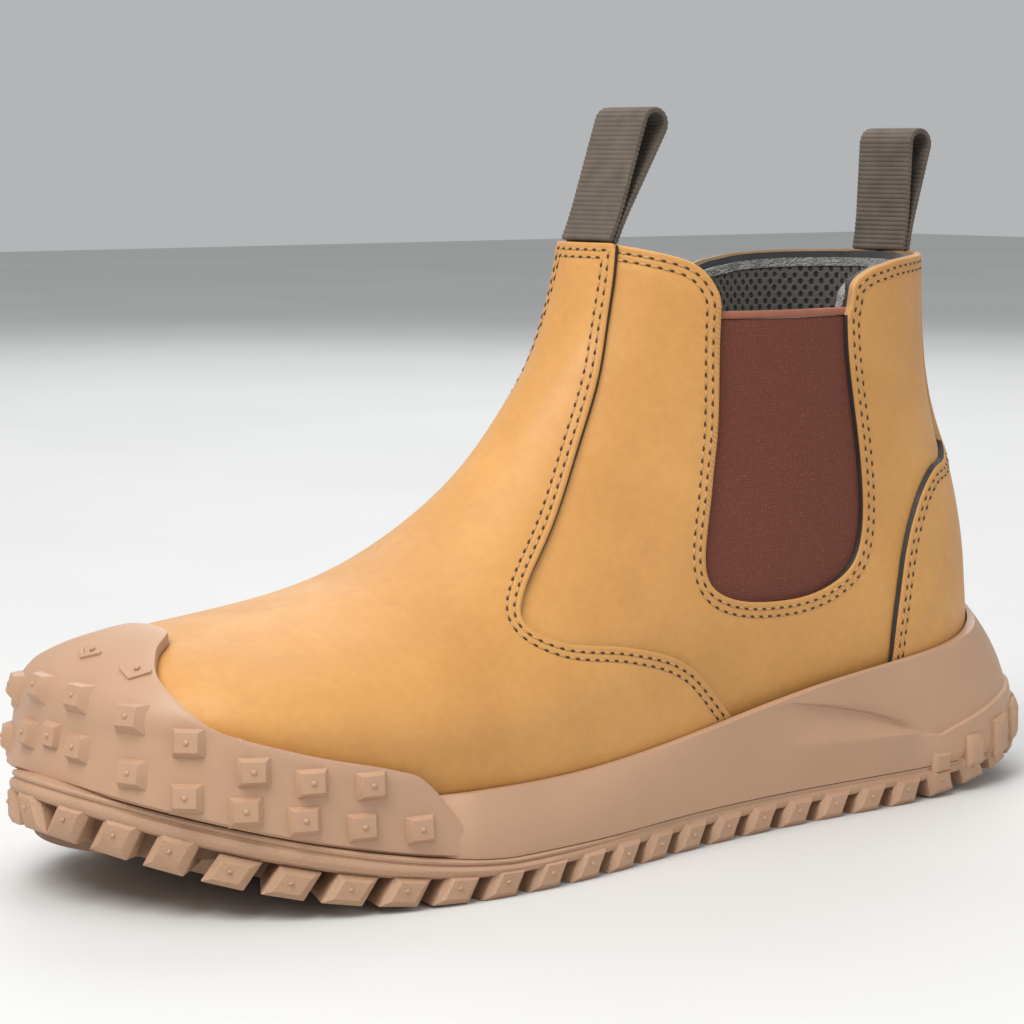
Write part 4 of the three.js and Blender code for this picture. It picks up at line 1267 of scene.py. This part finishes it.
@dataclass
class Sole:
    """Outsole, cup midsole and toe guard."""

    form: SoleForm = field(default_factory=SoleForm)
    tread: float = 5.0
    plate_top: float = 9.0
    lug_pitch: float = 13.8
    lug_long: float = 10.0
    lug_deep: float = 16.0
    lug_proud: float = 1.8
    lug_tall: float = 7.4
    bead: tuple[tuple[float, float], ...] = (  # out from the plate's edge, and under its top
        (0.1, 3.7), (0.8, 3.4), (1.25, 2.7), (1.3, 2.1), (0.9, 1.5), (0.15, 1.25), (0.1, 1.05), (0.5, 0.85),
        (0.6, 0.4), (0.3, 0.1),
    )
    block_from: float = -90.0  # the heel blocks stand behind this x
    block_turn: float = -102.0  # behind this x the wall is fuller, and they stand out further
    block_proud: tuple[float, float] = (2.0, 3.2)
    block_wide: float = 7.6
    block_foot: float = 2.6  # under the plate's top
    block_top: float = 4.4  # under the lower ridge
    centre_pitch: float = 17.5
    centre_half: tuple[float, float] = (14, 10)  # half the tread's width at the heel, and more at the ball
    centre_long: float = 9.0
    centre_sweep: float = 7.0
    wall_rows: tuple[tuple[float, ...], ...] = (  # part, share of its height, crest, heel panel
        (0, 0, 0, 0), (0, 0.25, 0.3, 1), (0, 0.6, 0.9, 1), (0, 0.93, 1.5, 1), (0, 1, 1.5, 1),
        (1, 0.12, 1.15, 0.9), (1, 0.5, -0.1, 0.05), (1, 0.9, -1.1, 0), (1, 1, -1, 0),
    )
    rim_rows: tuple[tuple[float, float], ...] = (  # share of the height over the upper ridge, crest
        (0.06, -0.2), (0.14, 0.15), (0.28, 0.2), (0.42, 0.15), (0.56, 0.1), (0.7, 0.05), (0.82, 0),
        (0.92, 0), (1, 0),
    )
    flare: float = 2.2  # the cup's wall leans in late on its way up
    low_ridge: tuple[tuple[float, float], ...] = (  # -x, z
        (-160, 13.5), (-100, 14.5), (-60, 15), (0, 19), (40, 22), (58, 21), (74, 20.1), (84, 19.7),
        (93, 18.6), (101, 17.3), (108, 19), (118, 20.9), (128, 23.1), (140, 25.2), (160, 27.5),
    )
    high_ridge: tuple[tuple[float, float], ...] = (
        (-160, 16.5), (-100, 17.5), (-60, 18), (0, 25), (42, 33), (58, 30), (72, 26.7), (82, 23.5),
        (93, 19.6), (101, 18.1), (108, 19.8), (118, 21.7), (128, 23.9), (140, 26), (160, 28.3),
    )
    guard_thick: float = 3.0
    guard_edge: tuple[tuple[float, float], ...] = (
        (0.242, 0), (0.236, 0.06), (0.2, 0.12), (0.168, 0.22), (0.17, 0.36), (0.2, 0.48), (0.27, 0.54),
        (0.335, 0.57), (0.362, 0.62), (0.4, 0.85),
    )
    guard_lugs: tuple[tuple[float, float], ...] = (
        (0.055, 0.16), (0.1, 0.369), (0.163, 0.53), (0.228, 0.625), (0.275, 0.64), (0.318, 0.63),
        (0.031, 0.62), (0.1, 0.69), (0.165, 0.765), (0.223, 0.775), (0.27, 0.774), (0.312, 0.77),
        (0.352, 0.762),
    )
    guard_lug_size: tuple[float, float] = (8.8, 7.6)
    tip_lug: tuple[float, float, float] = (150.2, -8, 40)
    marks: tuple[tuple[float, float], ...] = ((0.148, -0.012), (0.148, 0.173))
    mark_arm: tuple[float, float, float] = (5.6, 1.2, 1.4)
    mark_turn: float = 0.55
    mark_apart: float = 2.2
    guard_fold: float = 0.5
    guard_hang: float = 0.068  # height of the hanging strip on the flat sheet
    guard_nose: float = 0.06  # the guard rounds to its tip within this u
    guard_low: float = 0.85
    guard_spread: float = 2.5

    def outsole(self) -> None:
        """The plate with its ribs, and the lugs round its edge and down its middle."""
        f = self.form
        top = self.plate_top
        low = self.tread
        rows = [f.centre(low), f.row(-4, low), f.row(-0.6, low), f.row(0, low + 0.5)]
        shown = 0.25 + 0.75 * smoothstep((f.edge[:, 0] - 15) / 45)
        rows += [f.row(out * shown, top - under) for out, under in self.bead]
        rows += [f.row(-0.6, top), f.row(-5, top), f.centre(top - 0.4)]
        plate = shaded(f.block("plate", rows), 40)
        parts = [unit_mesh_mm(plate)]
        vertices, faces = self.lug_unit()
        for place, x in self.lug_places():
            tall = self.lug_tall / (1 + LAST.ground.drop(x) / top)
            tall += 1.6 * smoothstep((x - 128) / 12) + 1.6 * smoothstep((-x - 110) / 20)
            lean = (-1 if place < f.length / 2 else 1) * (4.6 - 7.0 * smoothstep((-x - 80) / 30))
            a, b, c = vertices.T
            share = c + 0.5
            along = a * self.lug_long + lean * (share - 0.5)
            bevel = np.maximum((share - 0.8) / 0.2, 0.5 * (np.abs(a) - 0.3) / 0.2)
            out = self.lug_proud - self.lug_deep * (b + 0.5) - 2.1 * np.clip(bevel, 0, 1) * (b < 0)
            parts.append((f.at(place, along, out, share * tall), faces))
        parts += self.centre_lugs() + self.heel_blocks(vertices, faces)
        settled(dress(shaded(joined("outsole_tread", parts), 32), "sole", Look.TREAD), "outsole")

    def lug_places(self) -> list[tuple[float, float]]:
        """How far round the edge each lug stands, and its x."""
        f = self.form
        count = round(f.length / self.lug_pitch)
        places = [(i + 0.5) * f.length / count for i in range(count)]
        none = np.zeros(1)
        return [(place, float(f.at(place, none, none, none)[0, 0])) for place in places]

    def lug_unit(self) -> Shell:
        """One edge lug in a unit cube, its outer face at y = -0.5, with a chamfered plate and a nub."""
        bpy.ops.mesh.primitive_cube_add(size=1)
        lug = bpy.context.object
        bpy.ops.object.mode_set(mode="EDIT")
        pick_faces(lug, lambda c, n: n.y < -0.9)
        bpy.ops.mesh.inset(thickness=0.2, depth=0.0)
        bpy.ops.object.mode_set(mode="OBJECT")
        modified(lug, "BEVEL", width=0.03, segments=2, limit_method="ANGLE")
        place = (0.05, -0.50, 0.05)
        bpy.ops.mesh.primitive_uv_sphere_add(segments=10, ring_count=6, radius=0.06, location=place)
        nub = bpy.context.object
        nub.scale = (1, 0.55, 1.1)
        return with_nub(lug, nub)

    def heel_blocks(self, vertices: Array, faces: list[tuple[int, ...]]) -> list[Shell]:
        """Raised blocks on the side of the heel, over the gaps of the edge lugs."""
        parts = []
        foot = self.plate_top - self.block_foot
        for place, x in self.lug_places():
            if x > self.block_from:
                continue
            top = np.interp(-x, *np.array(self.low_ridge).T) - self.block_top - LAST.ground.height(x)
            a, b, c = vertices.T
            share = c + 0.5
            bevel = np.maximum((share - 0.8) / 0.2, (np.abs(a) - 0.3) / 0.2) * (b < 0)
            proud = self.block_proud[int(x < self.block_turn)]
            out = proud - (proud + 0.8) * (b + 0.5) - 1.1 * np.clip(bevel, 0, 1)
            height = foot + (top - foot) * share
            parts.append((self.form.at(place, a * self.block_wide, out, np.maximum(height, 3.0)), faces))
        return parts

    def centre_lugs(self) -> list[Shell]:
        """Chevron bars down the middle of the tread."""
        vertices, faces = bevelled_cube(0.08)
        parts = []
        for x in np.arange(-118, 128, self.centre_pitch):
            half = self.centre_half[0] + self.centre_half[1] * float(smoothstep(x / 60))
            for side in (-1, 1):
                a, b, c = vertices.T
                across = (b + 0.5) * half * side
                px = x + a * self.centre_long - self.centre_sweep * (b + 0.5)
                z = self.form.over(px, (c + 0.5) * (self.tread + 0.6))
                points = np.column_stack([px, across - 2 * (x > 0), z]) + SHIFT
                parts.append((points, faces if side > 0 else [f[::-1] for f in faces]))
        return parts

    def midsole(self) -> None:
        """The cup: a block with a flared wall, cut out by the upper that sits in it."""
        f = self.form
        x = f.edge[:, 0]
        foot_height = self.plate_top + 0.2
        tucked = 4.0 * smoothstep((x - 72) / 18)
        foot = f.row(-0.4 - tucked + 0.75 * (1 - smoothstep((x - 20) / 30)), foot_height)
        inward = -np.column_stack([f.outward, np.zeros(f.count)])
        rim = f.rim + SHIFT - inward * (1.15 - 6.0 * smoothstep((x - 76) / 16))[:, None]
        low_z = np.interp(-x, *np.array(self.low_ridge).T)
        high_z = np.interp(-x, *np.array(self.high_ridge).T)
        crest = smoothstep((-x - 34) / 22) * (1 - smoothstep((-x - 84) / 10))
        raised = smoothstep((-x - 92) / 10)
        rows = [f.centre(foot_height), f.row(-5 - tucked, foot_height)]
        for part, share, out, panel in self.wall_rows:
            z = foot[:, 2] + (low_z - foot[:, 2]) * share if part == 0 else low_z + (high_z - low_z) * share
            rows.append(self.wall(foot, rim, z, out * crest + panel * 1.1 * raised, inward))
        for share, out in self.rim_rows:
            rows.append(self.wall(foot, rim, high_z + (rim[:, 2] - high_z) * share, out * crest, inward))
        rows.append(rim + inward * 0.1 + [0, 0, 0.15])
        rows.append(rim + inward * 0.5 + [0, 0, 0.2])
        rows.append(rim + inward * 4.0 + [0, 0, 0.1])
        rows.append(np.column_stack([f.spine, rim[:, 2]]) + [0, SHIFT[1], 0])
        piece = f.block("midsole_cup", rows)
        cutter = self.cutter()
        modified(piece, "BOOLEAN", object=cutter, operation="DIFFERENCE", solver="EXACT")
        bpy.data.objects.remove(cutter)
        settled(dress(shaded(piece, 24), "sole", Look.SOLE), "midsole")

    def wall(self, foot: Array, rim: Array, z: Array, out: Array, inward: Array) -> Array:
        """One row of the cup's wall.

        Args:
            foot: the row at its foot.
            rim: the row at its rim.
            z: the height of each point.
            out: how far each point stands out from the flare between them.
            inward: the inward direction at each point.

        Returns:
            One row per station.
        """
        t = np.clip((z - foot[:, 2]) / (rim[:, 2] - foot[:, 2]), 0, 1)
        plan = foot[:, :2] + (rim - foot)[:, :2] * (t**self.flare)[:, None] - inward[:, :2] * out[:, None]
        return np.column_stack([plan, z])

    def cutter(self) -> Piece:
        """The last, grown a little, as a closed mesh."""
        us, n = np.linspace(0.012, 1.0, 150), 120
        vs = np.arange(n) * 2 / n
        rows = [LAST.point(u, vs, -0.5) for u in us]
        faces = [(r * n + k, r * n + (k + 1) % n, (r + 1) * n + (k + 1) % n, (r + 1) * n + k)
                 for r in range(len(rows) - 1) for k in range(n)]
        faces += [tuple(range(n))[::-1], tuple((len(rows) - 1) * n + k for k in range(n))]
        return closed_shell(mesh_piece("last_cutter", np.vstack(rows), faces))

    def guard_point(self, u: Array, v: Array, depth: Array) -> Array:
        """The surface of the toe guard: on the last above, hanging straight down to the tread below."""
        u, v, depth = (np.asarray(a, float).ravel() for a in np.broadcast_arrays(u, v, depth))
        folded = np.clip(v, -self.guard_fold, self.guard_fold)
        closing = 1 - np.clip(u / self.guard_nose, 0, 1)
        p = LAST.point(u, folded, depth * np.sqrt(1 - closing**2))
        p[:, 0] -= depth * (1 - np.sqrt(1 - closing**2)) * (1 - u / LAST.toe_zone)
        fall = (np.abs(v) - np.abs(folded)) / (self.guard_low - self.guard_fold)
        away = p[:, :2] - np.array([60.0, SHIFT[1]])
        away /= np.linalg.norm(away, axis=1)[:, None]
        p[:, :2] += away * (self.guard_spread * fall)[:, None]
        foot = LAST.ground.height(p[:, 0]) + self.plate_top + 0.3
        p[:, 2] += (foot - p[:, 2]) * fall
        return p

    def guard_sheet(self, a: Array, b: Array, depth: Array) -> Array:
        """The toe guard from a flat sheet: a half disc round the toe tip, and a strip that hangs."""
        a, b = (np.asarray(c, float).ravel() for c in np.broadcast_arrays(a, b))
        over = np.maximum(a, 0)
        v = np.arctan2(np.where(b == 0, 1e-9, b), over) / np.pi
        fall = np.clip(-a / self.guard_hang, 0, 1) * (self.guard_low - self.guard_fold)
        return self.guard_point(np.hypot(over, b), v + np.sign(v) * fall, depth)

    def on_sheet(self, line: Array) -> Array:
        """A line of (u, v) on the guard, as a line of its flat sheet."""
        u, v = line.T
        round_ = np.minimum(v, self.guard_fold) * np.pi
        hang = np.maximum(0, v - self.guard_fold) / (self.guard_low - self.guard_fold) * self.guard_hang
        return np.column_stack([u * np.cos(round_) - hang, u * np.sin(round_)])

    def guard(self) -> None:
        """The toe guard with its two rows of lugs on each side."""
        edge = self.on_sheet(smooth_curve(self.guard_edge))
        foot = np.column_stack([np.full(120, -self.guard_hang), np.linspace(edge[-1, 1], -edge[-1, 1], 120)])
        outer = -self.gap_and_thick()
        upper = Edge(edge)
        panel = Panel("toe_guard_shell", [upper, Edge(foot), upper.mirrored()], outer, -0.3, self.guard_sheet,
                      roll=1.1, rows=(), cell=2.0, step=0.6, scale=(300.0, 300.0))
        parts = [unit_mesh_mm(panel.build())]
        vertices, faces = self.guard_lug()
        sized = vertices * [*self.guard_lug_size, 1]
        for u, v in self.guard_lugs:
            for side in (-1, 1):
                parts.append((self.on_guard(sized, u, v * side, outer, side), faces))
        across, ahead = np.array([0.0, 1, 0]), np.array([1.0, 0, 0.1])
        parts.append((placed(sized, np.array(self.tip_lug) + SHIFT, across, ahead), faces))
        parts += self.chevrons(outer)
        settled(dress(shaded(joined("toe_guard_rubber", parts), 32), "sole", Look.SOLE), "toe_guard")

    def chevrons(self, outer: float) -> list[Shell]:
        """Low raised chevrons on top of the toe, each of two bars and a nub."""
        vertices, faces = bevelled_cube(0.12)
        parts = []
        for u, v in self.marks:
            for side in (1, -1):
                c, s = math.cos(side * self.mark_turn), math.sin(side * self.mark_turn)
                x, y, z = (vertices * self.mark_arm).T
                arm = np.column_stack([x * c - y * s - side * self.mark_apart, x * s + y * c, z])
                parts.append((self.on_guard(arm, u, v, outer, 1), faces))
            nub = vertices * [1.2, 1.2, 1.3] + [0, -1.9, 0]
            parts.append((self.on_guard(nub, u, v, outer, 1), faces))
        return parts

    def gap_and_thick(self) -> float:
        """How far the guard's outer face is from the last."""
        return self.guard_thick + 0.3

    def on_guard(self, vertices: Array, u: float, v: float, depth: float, side: int) -> Array:
        """Sets a unit on the guard's outer face, its x along the guard and its z outwards."""
        reach = 0.004
        here = self.guard_point(u, v, depth)[0]
        across = side * reach
        ahead = self.guard_point(u + reach, v, depth)[0] - self.guard_point(u - reach, v, depth)[0]
        down = self.guard_point(u, v + across, depth)[0] - self.guard_point(u, v - across, depth)[0]
        outward = np.cross(ahead, down)
        away = here - np.array([40.0, 0.8, 30.0])
        outward *= np.sign(np.dot(outward, away))
        flat_ahead = np.cross(outward, [0, 0, 1])
        return placed(vertices, here, flat_ahead, outward)

    def guard_lug(self) -> Shell:
        """One square lug, 1 by 1, tapering outwards to 3 mm, with a nub in its middle."""
        bpy.ops.mesh.primitive_cube_add(size=1, location=(0, 0, 0.6))
        lug = bpy.context.object
        lug.scale = (1, 1, 3.0)
        bpy.ops.object.transform_apply(location=True, rotation=True, scale=True)
        bpy.ops.object.mode_set(mode="EDIT")
        pick_faces(lug, lambda c, n: n.z > 0.9)
        bpy.ops.transform.resize(value=(0.62, 0.62, 1))
        bpy.ops.transform.translate(value=(0.04, -0.03, 0))
        bpy.ops.object.mode_set(mode="OBJECT")
        modified(lug, "BEVEL", width=0.03, segments=2, limit_method="ANGLE")
        place = (0.04, -0.03, 2.1)
        bpy.ops.mesh.primitive_uv_sphere_add(segments=12, ring_count=8, radius=0.085, location=place)
        nub = bpy.context.object
        nub.scale = (1, 1.1, 6.0)
        return with_nub(lug, nub)

    def build(self) -> None:
        """Builds every piece of the sole."""
        self.outsole()
        self.midsole()
        self.guard()


def unit_mesh_mm(piece: Piece) -> Shell:
    """Takes a piece's mesh in millimetres and removes the piece."""
    vertices, faces = unit_mesh(piece)
    return vertices / MM, faces


def pick_faces(piece: Piece, wanted: Callable[[Vector, Vector], bool]) -> None:
    """Selects, in edit mode, just the faces whose centre and normal are wanted."""
    bpy.ops.mesh.select_mode(type="FACE")
    bpy.ops.mesh.select_all(action="DESELECT")
    shape = bmesh.from_edit_mesh(piece.data)
    for face in shape.faces:
        face.select_set(wanted(face.calc_center_median(), face.normal))
    bmesh.update_edit_mesh(piece.data)


# ---- Pull loops and what is inside ----


@dataclass
class PullLoop:
    """A strip of ribbed webbing folded into a loop that stands on the collar."""

    name: str
    node: str
    body: str
    foot: tuple[float, float, float]
    lean: float
    height: float
    width: float = 20.0
    spread: float = 9.0
    webbing: float = 1.6
    stitch: float = 5.0
    rib: float = 1.3

    def path(self) -> Array:
        """The middle line of the strip, seen from the side."""
        half = (self.spread - self.webbing) / 2
        top = self.height - self.spread / 2 - self.webbing
        up = np.array([(-0.85, -1.2), (-0.85, self.stitch - 2), (-1.2, self.stitch + 3), (-half, top)])
        turn = [(-half * math.cos(a), top + half * math.sin(a)) for a in np.linspace(0, math.pi, 14)[1:-1]]
        whole = np.vstack([up, turn, up[::-1] * [-1, 1]])
        return respaced(whole, whole, self.rib)

    def build(self) -> None:
        """Builds the loop from rib bars along its path."""
        bpy.ops.mesh.primitive_cylinder_add(vertices=12, radius=0.5, depth=1, rotation=(math.pi / 2, 0, 0))
        bar = bpy.context.object
        modified(bar, "BEVEL", width=0.06, segments=2, limit_method="ANGLE")
        vertices, faces = unit_mesh(bar)
        line = self.path()
        ahead = np.gradient(line, axis=0)
        lean = math.radians(self.lean)
        parts = []
        for (x, z), (dx, dz) in zip(line, ahead):
            length = math.hypot(dx, dz)
            tangent, across = np.array([dx, dz]) / length, np.array([-dz, dx]) / length
            a, b, c = vertices.T
            side = np.outer(a * 1.55 * self.rib, tangent) + np.outer(c * self.webbing, across) + [x, z]
            turned_x = side[:, 0] * math.cos(lean) - side[:, 1] * math.sin(lean)
            turned_z = side[:, 0] * math.sin(lean) + side[:, 1] * math.cos(lean)
            parts.append((np.column_stack([turned_x, b * self.width, turned_z]) + self.foot + SHIFT, faces))
        webbing = dress(shaded(joined(self.name, parts), 60), "webbing", Look.WEBBING)
        settled(webbing, self.node, self.body)


@dataclass
class Inside:
    """The footbed and its cover, and the finishes of the pieces that stay as they are."""

    cover_flat: tuple[float, float] = (0.082, 0.260)  # metres
    cover_area: float = 0.0162  # square metres, less than the rectangle for its rounded outline
    kept: dict[str, Look] = field(default_factory=lambda: {
        "shank": Look.STEEL, "steel_toe_cap": Look.STEEL, "toe_cap_edge_trim": Look.TRIM,
        "heel_stiffener": Look.BOARD, "insole_board": Look.BOARD,
        "front_loop_tail": Look.WEBBING, "rear_loop_tail": Look.WEBBING,
    })

    def softened(self, node: str, name: str, bevel: float) -> Piece:
        """A copy of a CAD node with merged vertices, rounded edges and a smoothing pass."""
        piece = frame["nodes"][node].copy()
        piece.data = piece.data.copy()
        piece.name = name
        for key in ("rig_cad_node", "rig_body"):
            if key in piece:
                del piece[key]
        piece.parent = None
        bpy.context.scene.collection.objects.link(piece)
        closed_shell(piece, 1e-5)
        modified(piece, "BEVEL", width=bevel * MM, segments=3, limit_method="ANGLE")
        modified(piece, "SMOOTH", factor=0.5, iterations=4)
        return shaded(piece, 60)

    def build(self) -> None:
        """Builds the footbed and dresses the hidden pieces."""
        bed = dress(self.softened("footbed", "footbed_foam", 0.8), "foam", Look.FOAM)
        cover = dress(self.softened("footbed_cover", "footbed_cloth", 0.3), "lining", Look.COVER)
        for piece, node in ((bed, "footbed"), (cover, "footbed_cover")):
            settled(piece, node, "footbed")
        slots = {row["node"]: row["material_slot"] for row in frame["record"]["subparts"]}
        for node, look in self.kept.items():
            dress(frame["nodes"][node], slots[node], look)


# ---- Stage ----


@dataclass
class Studio:
    """Pale floor, soft lights and the camera."""

    camera_at: tuple[float, float, float] = (514, 635.8, 180)
    target: tuple[float, float, float] = (17.6, 0.8, 84.5)
    lens: float = 109.27
    sensor: float = 36.0
    lamps: tuple[tuple, ...] = (  # name, place in metres, size, power, tint
        ("key", (1.0, 0.3, 1.35), 1.0, 24, (1.0, 0.985, 0.96)),
        ("front_fill", (-0.5, 1.7, 0.7), 1.2, 6.2, (1.0, 1.0, 1.0)),
        ("back_fill", (-1.0, -1.2, 1.2), 1.4, 14, (0.97, 0.985, 1.0)),
        ("overhead", (0.1, 0.0, 1.8), 1.2, 9, (1.0, 1.0, 1.0)),
    )
    sky: tuple[float, float, float, float] = (0.82, 0.84, 0.86, 1)
    sky_strength: float = 0.55

    def floor(self) -> None:
        """A plain pale floor under the boot."""
        bpy.ops.mesh.primitive_plane_add(size=8, location=(0, 0, 0))
        ground = bpy.context.object
        ground.name = "floor"
        s = Shader("pale_floor")
        colour = s.colours(s.noise(300, 3), [(0.3, (0.60, 0.60, 0.59)), (0.7, (0.64, 0.64, 0.63))])
        ground.data.materials.append(s.finished(colour, 0.7))

    def light(self, name: str, at: Sequence[float], size: float, power: float, tint: Sequence[float]) -> None:
        """One soft square light that points at the boot."""
        lamp = bpy.data.lights.new(name, "AREA")
        lamp.shape, lamp.size, lamp.energy, lamp.color = "SQUARE", size, power, tint
        holder = bpy.data.objects.new(name, lamp)
        holder.location = at
        holder.rotation_mode = "QUATERNION"
        holder.rotation_quaternion = (Vector(self.target) * MM - Vector(at)).to_track_quat("-Z", "Y")
        bpy.context.scene.collection.objects.link(holder)

    def build(self) -> None:
        """Sets up floor, lights, world and camera."""
        self.floor()
        for lamp in self.lamps:
            self.light(*lamp)
        world = bpy.data.worlds.new("studio")
        world.use_nodes = True
        background = world.node_tree.nodes["Background"].inputs
        background["Color"].default_value = self.sky
        background["Strength"].default_value = self.sky_strength
        bpy.context.scene.world = world
        camera = bpy.data.cameras.new("camera")
        camera.lens, camera.sensor_width = self.lens, self.sensor
        camera.clip_start, camera.clip_end = 0.01, 20
        holder = bpy.data.objects.new("camera", camera)
        holder.location = Vector(self.camera_at) * MM
        holder.rotation_mode = "QUATERNION"
        holder.rotation_quaternion = (Vector(self.target) - Vector(self.camera_at)).to_track_quat("-Z", "Y")
        bpy.context.scene.collection.objects.link(holder)
        bpy.context.scene.camera = holder
        bpy.context.scene.view_settings.view_transform = "Standard"


def main() -> None:
    """Builds the boot and its stage."""
    logging.basicConfig(level=logging.INFO, format="%(name)s: %(message)s")
    Studio().build()
    Upper().build()
    Sole().build()
    for end, foot, lean, height in (("front", (-9, 0, 156.3), 25, 38.0), ("rear", (-116, 0, 152), 10, 34.5)):
        PullLoop(f"{end}_loop_webbing", f"{end}_pull_loop", f"{end}_loop", foot, lean, height).build()
    Inside().build()


if __name__ == "__main__":
    main()
